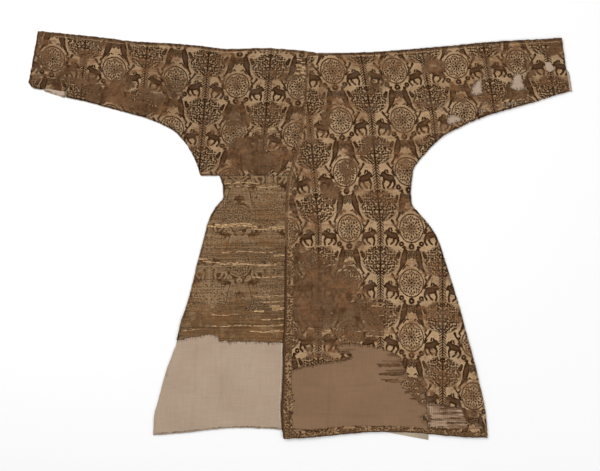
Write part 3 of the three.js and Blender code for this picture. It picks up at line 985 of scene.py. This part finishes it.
# Marks within the roundel, in an eighth of its turn: x leads out from its middle, y to one side.
MARKS_IN_ROUNDEL = rows_of(Limb, (
    (0.0, 0.0, 0.9, 0.3, 0.0, 0.9), (2.3, 0.0, 0.4, 3.5, 0.0, 0.7), (4.6, 1.9, 0.4, 5.3, 2.2, 0.5),
    (5.7, 0.0, 0.3, 7.2, 0.0, 0.85), (7.5, 3.1, 0.6, 8.0, 3.3, 0.6), (8.5, 1.4, 0.4, 9.4, 1.7, 0.55),
    (9.9, 0.0, 0.5, 10.2, 0.0, 0.5),
))


def to_disc(paint, point, disc):
    return paint.distance(point, (disc.x, disc.y, 0.0)) - disc.radius


def to_rosette(paint, point, disc):
    """A small flower: a round of petals about a pale eye."""
    reach = paint.distance(point, (disc.x, disc.y, 0.0))
    return paint.most(reach - disc.radius, disc.radius * EYE_SHARE - reach)


def to_limb(paint, point, limb):
    """A rounded limb that grows or thins from one end to the other."""
    start = Vector((limb.from_x, limb.from_y, 0.0))
    run = Vector((limb.to_x, limb.to_y, 0.0)) - start
    away = paint.vector("SUBTRACT", point, tuple(start))
    reach = paint.vector("DOT_PRODUCT", away, tuple(run / run.length_squared), 1)
    share = paint.math("ADD", reach, 0.0, clamp=True)
    nearest = paint.node("ShaderNodeVectorMath", {"operation": "SCALE"}, {0: tuple(run), "Scale": share})
    gap = paint.distance(away, nearest)
    if limb.from_radius == limb.to_radius:
        return gap - limb.from_radius
    return gap - (limb.from_radius + (limb.to_radius - limb.from_radius) * share)


def nearest_of(paint, measure, point, shapes):
    return paint.least(*(measure(paint, point, shape) for shape in shapes))


def roundel_figures(paint, x, y):
    """The roundel's ring, and within it eight-fold marks about a middle one."""
    level = (y - ROUNDEL_DROP) * (ROUNDEL_HALF_WIDTH / ROUNDEL_HALF_HEIGHT)
    reach = paint.length(paint.pair(x, level))
    ring = abs(reach - ROUNDEL_HALF_WIDTH) - RING_HALF_LINE
    turn = paint.back_and_forth(paint.math("ARCTAN2", x, level), math.pi / 8)
    wedge = paint.pair(reach * paint.math("COSINE", turn), reach * paint.math("SINE", turn))
    heart = paint.most(reach - HEART_RADIUS, HEART_TONE)
    return paint.least(ring, heart, nearest_of(paint, to_limb, wedge, MARKS_IN_ROUNDEL))


def tree_figures(paint, point, x, y):
    """A round-topped tree: a crown of close leaves on rising branches, with pale drops by the trunk."""
    from_trunk = TREE_LINE - x
    from_crown = paint.vector("SUBTRACT", point, (TREE_LINE, CROWN_MIDDLE, 0.0))
    shrink = (1 / CROWN_HALF_WIDTH, 1 / CROWN_HALF_HEIGHT, 1.0)
    crown = paint.length(paint.vector("MULTIPLY", from_crown, shrink))
    leaves = paint.node(
        "ShaderNodeTexVoronoi",
        {"voronoi_dimensions": "2D"},
        {"Vector": point, "Scale": 1 / LEAF_PITCH, "Randomness": LEAF_SCATTER},
    )
    leaf = leaves * LEAF_PITCH - LEAF_RADIUS
    rise = y + from_trunk * BRANCH_RISE - from_trunk * from_trunk * BRANCH_BEND
    branch = paint.back_and_forth(rise + 0.8, BRANCH_PITCH / 2) - BRANCH_HALF_LINE
    branch = paint.most(branch, from_trunk - BRANCH_REACH)
    leaf = paint.most(paint.least(leaf, branch), crown * 9.0 - 9.0)
    trunk = paint.most(from_trunk - TRUNK_HALF, TRUNK_TOP - y, y - TRUNK_FOOT)
    drops = nearest_of(paint, to_limb, point, DROPS_IN_CROWN)
    return paint.most(paint.least(leaf, trunk), -drops)


def stem_figures(paint, x, y):
    """The beaded stem between two trees."""
    from_stem = TREE_LINE - x
    bead = paint.back_and_forth(y - from_stem * 0.9, BEAD_HALF_PITCH) - BEAD_HALF
    bead = paint.least(paint.most(from_stem - BEAD_REACH, bead), from_stem - STEM_HALF)
    return paint.most(bead, STEM_TOP - y, y - STEM_FOOT)


def perch_figures(paint, x, y):
    """The half-dark perch between two birds, narrower towards its foot."""
    foot = y - PERCH_FOOT + abs(x - PERCH_POINT) * 0.9
    return paint.most(x - PERCH_HALF, PERCH_TOP - y, foot, HALF_DARK)


def silk_figures(paint):
    """All the figures together, with outlines as ragged as the weave."""
    across, down, _ = paint.parts(paint.repeat())
    x = paint.back_and_forth(across * DRAWN_WIDTH, TREE_LINE)
    by_roundel = (paint.math("FRACT", down + 0.5) - 0.5) * DRAWN_HEIGHT
    by_birds = (paint.math("FRACT", down) - 1.0) * DRAWN_HEIGHT
    near = paint.pair(x, by_roundel)
    above = paint.pair(x, by_birds)
    figures = paint.least(
        roundel_figures(paint, x, by_roundel),
        perch_figures(paint, x, by_birds),
        tree_figures(paint, above, x, by_birds),
        stem_figures(paint, x, by_roundel),
        nearest_of(paint, to_rosette, near, ROSETTES),
        nearest_of(paint, to_limb, near, STALKS + BEAST),
        nearest_of(paint, to_disc, above, BIRD_HEAD_AND_BEAD),
        nearest_of(paint, to_limb, above, BIRD),
    )
    return figures + (paint.noise(430, 430) - 0.5) * RAGGED_LINES


# ---- finishes ----

THREAD_PITCH_SILK = 0.0011      # metres, as a material reads them
THREAD_PITCH_PLAIN = 0.0014
RIB_PITCH = 0.0062
SILK_DEPTH = 0.0006
PLAIN_DEPTH = 0.0007
THREAD_DEPTH = 0.0001

# The dark of soil and painted shade along edges and seams, and also the band's own dark edge and scrolls.
EDGE_DARK = tint(34, 23, 16)
WORN_SILK = tint(100, 72, 48)
FIGURE = tint(46, 22, 1)
DUST = tint(122, 103, 86)

Silk = namedtuple("Silk", "ground ground_red figure figure_grey worn worn_red dust")

FACE = Silk(
    ground=tint(184, 153, 117),
    ground_red=tint(158, 125, 91),
    figure=FIGURE,
    figure_grey=tint(84, 59, 38),
    worn=WORN_SILK,
    worn_red=tint(117, 82, 54),
    dust=DUST,
)

REVERSE = Silk(
    ground=tint(72, 48, 27),
    ground_red=tint(92, 62, 36),
    figure=tint(154, 126, 94),
    figure_grey=tint(132, 107, 79),
    worn=tint(106, 78, 50),
    worn_red=tint(124, 87, 53),
    dust=DUST,
)

Grains = namedtuple("Grains", "tone weft warp rub streak fine")


def weave_height(paint, pitch):
    """Crossing threads, with a low crinkle."""
    x, y, _ = paint.parts(paint.place())
    turns = 2 * math.pi / pitch
    threads = paint.math("SINE", x * turns) * paint.math("SINE", y * turns)
    return threads * 0.05 + paint.noise(70, 60, detail=3.0)


def darken_edges(paint, color, reach, amount):
    """Soil and shade along cut edges, broken up."""
    edge = paint.attribute("edge") + (paint.noise(90, 90, shift=3.0) - 0.5) * 0.3
    return paint.mix(paint.step(edge, reach, 0.02) * amount, color, EDGE_DARK)


def shaded(paint, color, shade):
    """The colour made lighter or darker by a number near 1."""
    grey = paint.node("ShaderNodeCombineColor", None, {0: shade, 1: shade, 2: shade})
    return paint.mix(1.0, color, grey, "MULTIPLY")


def silk_grains(paint):
    """The noises that the silk's colours share, from its slow tone to its fine grain."""
    return Grains(
        tone=paint.noise(9, 14, detail=3.0),
        weft=paint.noise(60, 900, shift=5.0),
        warp=paint.noise(1000, 90, detail=1.0, shift=2.0),
        rub=paint.noise(46, 60, detail=5.0, shift=9.0, rough=0.7),
        streak=paint.noise(16, 120, detail=4.0, shift=17.0, rough=0.65),
        fine=paint.noise(300, 380, shift=21.0),
    )


def woven_color(paint, silk, grains, outside, dark):
    """Ground and figures, each between two colours that follow its threads."""
    open_ground = paint.step(outside, 0.7, 2.4) * 0.55
    ground = paint.most(open_ground, paint.step(grains.tone + (grains.weft - 0.5) * 0.7, 0.36, 0.68))
    within = paint.step(outside, -0.7, -2.0) * 0.9
    inner = paint.most(within, paint.step(grains.tone + (grains.warp - 0.5) * 0.8, 0.45, 0.9))
    figure = paint.mix(inner, silk.figure, silk.figure_grey)
    return paint.mix(dark, paint.mix(ground, silk.ground, silk.ground_red), figure)


def bare_color(paint, silk, grains, dark):
    """What is left where the figures have gone: streaked threads with darker stains."""
    redness = paint.step(grains.tone + (grains.rub - 0.5) * 0.8, 0.44, 0.72)
    streaks = 0.36 + grains.streak * 0.84 + grains.rub * 0.46
    bare = paint.mix(redness, silk.worn, silk.worn_red)
    bare = shaded(paint, bare, streaks * (1.02 - dark * 0.08))
    stain = paint.step(paint.noise(36, 22, detail=4.0, shift=51.0, rough=0.65), 0.53, 0.64)
    return paint.mix(stain * 0.45, bare, silk.figure)


def turn_edge(paint, silk, color, grains):
    """The silk's turned first edge, and a pale broken line beside it."""
    fold = paint.attribute("fold") + (grains.rub - 0.5) * 0.3
    color = paint.mix(paint.step(fold, 0.80, 0.66) * 0.55, color, silk.worn)
    line = paint.step(abs(fold - 0.82), 0.12, 0.02) * paint.step(grains.streak, 0.38, 0.56)
    return paint.mix(line * 0.5, color, silk.ground)


def silk_material(name, silk, reverse=False):
    """Figured silk. Its reverse is banded along the weft, and more threadbare."""
    paint = Paint(name)
    x, y, _ = paint.parts(paint.place())
    grains = silk_grains(paint)
    outside = silk_figures(paint)
    dark = paint.step(outside, 0.5, -0.1)
    wear = paint.attribute("wear") + (grains.rub + grains.streak - 1.0) * 2.4
    lost = paint.step(wear, 0.30, 0.95)
    if reverse:
        lost = paint.step(wear, 1.05, 1.60)
        specks = paint.step(grains.fine + (grains.weft - 0.5) * 0.5, 0.46, 0.60)
        dark = dark + (specks - dark) * paint.step(wear, 0.15, 0.6)
    thin = grains.rub + (grains.streak - 0.5) * 0.7 + (grains.tone - 0.5) * 0.55
    thin = paint.step(thin, 0.48, 0.76) * 0.85
    bare = bare_color(paint, silk, grains, dark)
    color = paint.mix(paint.most(lost * 0.93, thin), woven_color(paint, silk, grains, outside, dark), bare)
    broad = paint.noise(4, 5, detail=4.0, shift=31.0)
    shade = 0.20 + grains.weft * 0.36 + grains.warp * 0.16 + grains.fine * 0.74 + broad * 0.36
    shade = shade * (1.0 - paint.step(y, -0.1, 0.45) * 0.10 - paint.step(x, 0.03, -0.06) * 0.12)
    if reverse:
        rows = paint.noise(7, 150, detail=5.0, shift=14.0, rough=0.75)
        lines = paint.step(paint.noise(3, 230, shift=44.0), 0.44, 0.36)
        color = paint.mix(paint.step(rows, 0.46, 0.66) * 0.4, color, silk.worn)
        shade = shade * (0.06 + rows * 1.95) * (0.98 - lines * 0.32)
    dust = paint.step(paint.noise(22, 26, detail=4.0, shift=61.0, rough=0.7), 0.50, 0.66)
    color = shaded(paint, paint.mix(dust * 0.2, color, silk.dust), shade)
    color = darken_edges(paint, turn_edge(paint, silk, color, grains), 0.30, 0.85)
    return paint.finish(color, 0.62 + dark * 0.12, weave_height(paint, THREAD_PITCH_SILK), SILK_DEPTH)


def plain_material(name, light, deep, blotch=0.5, ribbed=False):
    """Plain cloth with slubs and painted shade along its creases, ribbed or not, with shreds of silk where it
    is marked as worn.
    """
    paint = Paint(name)
    tone = paint.noise(6, 8, detail=3.0)
    weft = paint.noise(30, 420, shift=4.0)
    warp = paint.noise(700, 30, shift=1.0)
    color = paint.mix(paint.step(tone + (weft + warp - 1.0) * 0.6, 0.30, 0.72) * blotch, light, deep)
    # Painted shade: the cloth's colour is darkened along its creases.
    crease_shade = paint.step(paint.attribute("crease_shade"), 0.1, 1.0) * 0.06
    slub = paint.noise(16, 170, shift=71.0) + paint.noise(170, 16, shift=81.0)
    shade = 0.66 + weft * 0.20 + warp * 0.20 + slub * 0.14 - crease_shade
    if ribbed:
        x, _, _ = paint.parts(paint.place())
        ribs = paint.math("SINE", (x + warp * 0.002) * (2 * math.pi / RIB_PITCH))
        blotches = (tone - 0.5) * 3.0 + (weft - 0.5) * 2.4 + (warp - 0.5) * 1.6
        color = paint.mix(paint.step(ribs * 0.5 + blotches, -0.5, 1.0) * 0.75, color, deep)
    streak = paint.noise(14, 130, detail=4.0, shift=17.0, rough=0.65)
    wear = paint.attribute("wear")
    shreds = paint.step(wear + (streak - 0.5) * 3.0, 0.45, 1.0) * paint.step(wear, 0.02, 0.25) * 0.75
    color = paint.mix(shreds, shaded(paint, color, shade), WORN_SILK)
    color = darken_edges(paint, color, 0.24, 0.8)
    return paint.finish(color, 0.85, weave_height(paint, THREAD_PITCH_PLAIN), PLAIN_DEPTH)


def band_material(name, ground, figure):
    """A narrow band: broken scrolls on brown beside a plain dark edge, drawn across its own map."""
    paint = Paint(name)
    across, _, _ = paint.parts(paint.repeat())
    grain = paint.noise(420, 420)
    curls = abs(paint.noise(95, 110, detail=1.0, shift=6.0) - 0.5)
    drift = paint.noise(30, 30, shift=6.0)
    pale = paint.step(curls + (grain - 0.5) * 0.06, 0.085, 0.045) * paint.step(across, 0.24, 0.34)
    dark = paint.step(abs(curls - 0.12), 0.03, 0.0) * 0.7
    edge = paint.step(across + (grain - 0.5) * 0.2, 0.16, 0.02)
    color = paint.mix(pale * (0.3 + paint.step(drift, 0.35, 0.6) * 0.7), figure, ground)
    color = paint.mix(paint.most(edge * 0.85, dark), color, EDGE_DARK)
    color = shaded(paint, color, 0.7 + grain * 0.5)
    return paint.finish(color, 0.65, weave_height(paint, THREAD_PITCH_SILK), SILK_DEPTH)


def thread_material(name, dull, bright):
    paint = Paint(name)
    tone = paint.noise(120, 300)
    color = paint.mix(paint.step(tone, 0.35, 0.65), dull, bright)
    return paint.finish(color, 0.5, tone, THREAD_DEPTH)


FIGURED = Finish(silk_material("figured_silk", FACE), "patterned_silk")
REVERSED = Finish(silk_material("silk_reverse", REVERSE, reverse=True), "silk_reverse")
PALE = Finish(plain_material("pale_cloth", tint(175, 154, 134), tint(163, 141, 121)), "pale_cloth")
BROWN = Finish(plain_material("brown_cloth", tint(136, 107, 81), tint(122, 94, 71)), "brown_cloth")
RIBBED = Finish(
    plain_material("ribbed_cloth", tint(186, 159, 133), tint(118, 90, 66), ribbed=True), "ribbed_cloth"
)
BANDED = Finish(band_material("band_silk", tint(164, 132, 96), tint(88, 62, 40)), "band_silk")
back_inside = plain_material("back_inside", tint(204, 186, 162), tint(188, 168, 143))
pale_thread = thread_material("pale_thread", tint(176, 136, 92), tint(232, 198, 152))
dark_thread = thread_material("dark_thread", FIGURE, tint(104, 76, 52))
# The colour of a pale cord that is a painted highlight on the lining's folded edge.
edge_highlight_thread = thread_material("edge_highlight_thread", tint(198, 178, 158), tint(226, 210, 194))

# ---- the pieces ----

RIGHT_SILK = {"repeat": RIGHT_REPEAT, "worn": WORN_RIGHT}
LEFT_SILK = {"repeat": LEFT_REPEAT, "worn": WORN_LEFT}
ON_FRONT = {"folds": FOLDS_FRONT_LEFT, "overlaps": True}
AS_BAND = {"overlaps": True, "wall": BAND, "raised": SILK + GAP}

BAND_STEPS = 30                 # how finely the place where the front band starts is looked for
below_neck = next(
    t / BAND_STEPS for t in range(len(FRONT_LEFT) * BAND_STEPS)
    if section_at(FRONT_LEFT, t / BAND_STEPS).inner_y < BAND_TOP
)

PANELS = (
    Panel(
        "front_left", FIGURED, FRONT_LEFT, 96, torn=(TORN_LEFT_SKIRT, TORN_LEFT_HEM) + HOLES_LEFT_SLEEVE,
        kept=SCRAPS_ON_BROWN_CLOTH + SCRAPS_ON_RIBBED_CLOTH, **LEFT_SILK, **ON_FRONT,
    ),
    Panel("cuff_left", FIGURED, CUFF_LEFT, 30, torn=(HOLE_LEFT_CUFF,), ragged=1.0, **LEFT_SILK),
    Panel("front_right", FIGURED, FRONT_RIGHT, 60, folds=FOLDS_FRONT_RIGHT, **RIGHT_SILK),
    Panel("cuff_right", FIGURED, CUFF_RIGHT, 30, steps=5, **RIGHT_SILK),
    Panel(
        "skirt_right", REVERSED, SKIRT_RIGHT, 64, steps=8, folds=FOLDS_SKIRT_RIGHT,
        torn=(RAGGED_RIGHT_SKIRT,), repeat=SKIRT_REPEAT, worn=WORN_SKIRT,
    ),
    Panel(
        "lining_right", PALE, LINING_RIGHT, 70, wall=PLAIN,
        folds=FOLDS_LINING_RIGHT, creases=CREASES_LINING_RIGHT,
    ),
    Panel("lining_right_cuff", PALE, LINING_RIGHT_CUFF, 10, steps=6, wall=PLAIN),
    Panel("lining_left_sleeve", PALE, LINING_LEFT_SLEEVE, 30, wall=PLAIN),
    Panel(
        "lining_left_skirt", BROWN, LINING_LEFT_SKIRT, 70, steps=14, wall=PLAIN, overlaps=True,
        worn=SHREDS_ON_BROWN, creases=CREASES_LEFT_SKIRT,
    ),
    Panel("lining_left_hem", RIBBED, LINING_LEFT_HEM, 26, steps=12, wall=PLAIN, worn=SHREDS_ON_RIBBED),
    Panel(
        "front_band", BANDED, FRONT_LEFT, 6, folds=FOLDS_FRONT_LEFT, first_row=below_neck,
        span=(0.01, FRONT_BAND_WIDTH), upright=True, **AS_BAND,
    ),
    Panel(
        "hem_band", BANDED, FRONT_LEFT, 96, first_row=len(FRONT_LEFT) - 2,
        span=(FRONT_BAND_WIDTH + GAP, 0), **AS_BAND,
    ),
)

CLOTH = {}
for panel in PANELS:
    piece = lay_cloth(panel)
    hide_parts(panel.name)
    CLOTH[panel.name] = piece


BACK_REPEAT_X = 98
BACK_REPEAT_Y = 519
BACK_EDGE_SOIL_AND_SHADE = 0.5                 # as cloth half way in from an edge, where no soil or painted shade is drawn


def make_back():
    """The whole outline in one, pale inside and silk outside, flat on the surface."""
    bm = merged_node("back")
    bmesh.ops.dissolve_limit(bm, angle_limit=math.radians(1), verts=bm.verts[:], edges=bm.edges[:])
    uv_layer = bm.loops.layers.uv.new("repeat")
    for face in bm.faces:
        face.material_index = 1 if face.normal.z < -0.5 else 0
        for loop in face.loops:
            place = loop.vert.co / MM
            across = (place.x - BACK_REPEAT_X) / REPEAT_WIDTH
            loop[uv_layer].uv = (across, (BACK_REPEAT_Y - place.y) / REPEAT_DROP)
    edge_layer = bm.verts.layers.float.new("edge")
    for vert in bm.verts:
        vert[edge_layer] = BACK_EDGE_SOIL_AND_SHADE
    back = make_piece("back_cloth", bm, [back_inside, FIGURED.material])
    return back


back = make_back()
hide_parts("back")

# ---- threads ----

WEFT_RADIUS = 0.6
FRINGE_RADIUS = 0.45
STITCH_RADIUS = 0.35
HIGHLIGHT_CORD_RADIUS = 1.1
THREAD_PITCH = 1.6
WEFT_POINTS = 5
WEFT_LENGTHS = (8, 30)
WEFT_GAPS = (1, 12)
WEFT_WAVE = 2.0
WEFT_WAVE_RUN = 21
WEFT_SHAKE = 0.7
WEFT_LIFT = 0.1
WEFT_ARCH = 0.6
FRINGE_LENGTHS = (2.0, 9.0)
FRINGE_ROOT = 3                 # how far a frayed end reaches back into the cloth
FRINGE_SLANT = 0.15
FRINGE_SLANT_WARP = 0.3
FRINGE_LIFT = 0.25
STITCH_ARCH = ((0.0, -0.1), (0.5, 0.3), (1.0, -0.1))


def heights_of(name):
    """A way to ask how high a panel's cloth lies at a place."""
    places = [tuple(vertex.co / MM) for vertex in CLOTH[name].data.vertices]
    tree = place_tree(places)

    def height(x, y):
        return places[tree.find(Vector((x, y, 0.0)))[1]][2]
    return height


def lay_threads(name, runs, radius, material):
    """Round threads, each along its own short list of places, as one curve object."""
    curve = bpy.data.curves.new(name, "CURVE")
    curve.dimensions = "3D"
    curve.bevel_depth = radius * MM
    curve.bevel_resolution = 1
    curve.use_fill_caps = True
    curve.materials.append(material)
    for places in runs:
        spline = curve.splines.new("POLY")
        spline.points.add(len(places) - 1)
        for point, place in zip(spline.points, places):
            point.co = (place[0] * MM, place[1] * MM, place[2] * MM, 1.0)
    piece = add_object(name, curve)
    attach(piece, "root")


def weft_runs(streaks, height, seed):
    """Loose weft: wavy lengths end to end along each streak."""
    chance = random.Random(seed)
    runs = []
    for streak in streaks:
        for thread in range(streak.threads):
            y = streak.y + (thread - streak.threads / 2) * THREAD_PITCH
            x = streak.from_x
            while x < streak.to_x:
                end = min(streak.to_x, x + chance.uniform(*WEFT_LENGTHS) * (0.6 + streak.fullness))
                run = []
                for i in range(WEFT_POINTS):
                    share = i / (WEFT_POINTS - 1)
                    at = x + (end - x) * share
                    wave = y + WEFT_WAVE * math.sin(at / WEFT_WAVE_RUN + thread * 0.3)
                    wave += chance.uniform(-WEFT_SHAKE, WEFT_SHAKE)
                    lift = WEFT_LIFT + WEFT_ARCH * math.sin(math.pi * share)
                    run.append((at, wave, height(at, wave) + lift))
                runs.append(run)
                x = end + chance.uniform(*WEFT_GAPS) / streak.fullness
    return runs


def fringe_runs(line, lost, height, spacing, seed):
    """Frayed ends that reach from a torn line over the lost place, along the weft or the warp."""
    chance = random.Random(seed)
    runs = []
    for (x0, y0), (x1, y1) in zip(line, line[1:]):
        length = math.hypot(x1 - x0, y1 - y0)
        side_x, side_y = (y0 - y1) / length, (x1 - x0) / length
        for i in range(int(length / spacing)):
            share = (i + chance.random()) * spacing / length
            x, y = x0 + (x1 - x0) * share, y0 + (y1 - y0) * share
            if abs(side_x) > abs(side_y):
                step_x, step_y = math.copysign(1.0, side_x), chance.uniform(-FRINGE_SLANT, FRINGE_SLANT)
            else:
                step_x = chance.uniform(-FRINGE_SLANT_WARP, FRINGE_SLANT_WARP)
                step_y = math.copysign(1.0, side_y)
            if not inside(lost, x + FRINGE_ROOT * step_x, y + FRINGE_ROOT * step_y):
                step_x, step_y = -step_x, -step_y
            reach = chance.uniform(*FRINGE_LENGTHS)
            run = (
                (x - step_x * FRINGE_ROOT, y - step_y * FRINGE_ROOT),
                (x + step_x * reach * 0.5, y + step_y * reach * 0.5),
                (x + step_x * reach, y + step_y * reach + chance.uniform(-1, 1)),
            )
            runs.append([(a, b, height(a, b) + FRINGE_LIFT) for a, b in run])
    return runs


def stitch_runs(line, height, pitch, length):
    """Short stitches along a seam's line of places."""
    runs = []
    for (x0, y0), (x1, y1) in zip(line, line[1:]):
        reach = math.hypot(x1 - x0, y1 - y0)
        run_x, run_y = (x1 - x0) / reach, (y1 - y0) / reach
        for i in range(int(reach / pitch)):
            x, y = x0 + run_x * i * pitch, y0 + run_y * i * pitch
            places = [(x + run_x * length * u, y + run_y * length * u, lift) for u, lift in STITCH_ARCH]
            runs.append([(a, b, height(a, b) + lift) for a, b, lift in places])
    return runs


on_skirt = heights_of("skirt_right")
on_right = heights_of("front_right")
on_left = heights_of("front_left")
on_brown = heights_of("lining_left_skirt")
on_ribbed = heights_of("lining_left_hem")
on_front_band = heights_of("front_band")
on_lining = heights_of("lining_right")

pale_runs = weft_runs(BRIGHT_WEFT, on_skirt, 11) + weft_runs(BRIGHT_WEFT_AT_NECK, on_right, 12)
pale_runs += weft_runs(BRIGHT_WEFT_ON_LEFT, on_left, 19)
lay_threads("loose_weft", pale_runs, WEFT_RADIUS, pale_thread)

dark_runs = weft_runs(DARK_WEFT_ON_BROWN, on_brown, 13) + weft_runs(DARK_WEFT_ON_RIBBED, on_ribbed, 14)
dark_runs += fringe_runs(TORN_LEFT_SKIRT[:19], TORN_LEFT_SKIRT, on_left, 5.0, 15)
dark_runs += fringe_runs(TORN_LEFT_HEM[:11], TORN_LEFT_HEM, on_left, 3.0, 16)
for hole in HOLES_LEFT_SLEEVE:
    dark_runs += fringe_runs(hole + hole[:1], hole, on_left, 4.0, 17)
dark_runs += fringe_runs(RAGGED_RIGHT_SKIRT[1:11], RAGGED_RIGHT_SKIRT, on_skirt, 6.0, 18)
lay_threads("frayed_weft", dark_runs, FRINGE_RADIUS, dark_thread)

SEAMS = (
    (((-366, WAIST_SEAM + 2), (-84, WAIST_SEAM + 2)), on_right),
    (((-774, 622), (-790, 434)), on_right),
    (((636, 606), (665, 415)), on_left),
    (((-24, 556), (-44, 391), (-66, 266), (-94, 166), (-100, 94), (-100, -28)), on_left),
    (((-102, -40), (-102, -225), (-106, -328), (-108, -453), (-113, -547), (-108, -618)), on_front_band),
)
seam_runs = [run for line, height in SEAMS for run in stitch_runs(line, height, pitch=6.5, length=4.0)]
lay_threads("seam_stitches", seam_runs, STITCH_RADIUS, dark_thread)

# A pale cord along the lining's folded edge: a painted highlight of the fold, not a real thread.
LINING_EDGE_HIGHLIGHT = ((-113.5, -338), (-115.5, -453), (-120.5, -547), (-116.5, -600))
highlight_runs = stitch_runs(LINING_EDGE_HIGHLIGHT, on_lining, pitch=7.0, length=7.0)
lay_threads("lining_edge_highlight", highlight_runs, HIGHLIGHT_CORD_RADIUS, edge_highlight_thread)

# ---- floor, light and camera, in metres ----

FLOOR_HALF = 6.0
FLOOR_DROP = 0.0005
CAMERA_HEIGHT = 5.0
CAMERA_MIDDLE = (-0.05625, -0.0016)
FRAME_WIDTH = 1.875
SENSOR = 36.0                   # millimetres
SKY = 0.56


def make_floor():
    bm = bmesh.new()
    bmesh.ops.create_grid(bm, x_segments=1, y_segments=1, size=FLOOR_HALF)
    bmesh.ops.translate(bm, vec=(0, 0, -FLOOR_DROP), verts=bm.verts[:])
    paint = Paint("floor")
    paint.shader.inputs["Base Color"].default_value = (0.97, 0.97, 0.97, 1)
    paint.shader.inputs["Roughness"].default_value = 0.9
    add_mesh("floor", bm, [paint.material])


def make_light(name, place, size, power):
    light = bpy.data.lights.new(name, "AREA")
    light.shape = "SQUARE"
    light.size = size
    light.energy = power
    lamp = add_object(name, light)
    lamp.location = place
    lamp.rotation_euler = (-Vector(place)).to_track_quat("-Z", "Y").to_euler()


def make_camera():
    """Straight down on the coat, with all of it in view."""
    camera = bpy.data.cameras.new("camera")
    camera.sensor_width = SENSOR
    camera.lens = SENSOR * CAMERA_HEIGHT / FRAME_WIDTH
    view = add_object("camera", camera)
    view.location = (*CAMERA_MIDDLE, CAMERA_HEIGHT)
    bpy.context.scene.camera = view


def make_sky():
    sky = bpy.data.worlds.new("studio")
    sky.use_nodes = True
    background = sky.node_tree.nodes["Background"].inputs
    background["Color"].default_value = (1, 1, 1, 1)
    background["Strength"].default_value = SKY
    bpy.context.scene.world = sky


make_floor()
make_light("window", (-1.6, 1.9, 2.6), size=2.4, power=74)
make_light("fill", (2.2, -1.2, 2.8), size=2.6, power=30)
make_camera()
make_sky()
bpy.context.scene.view_settings.view_transform = "Standard"
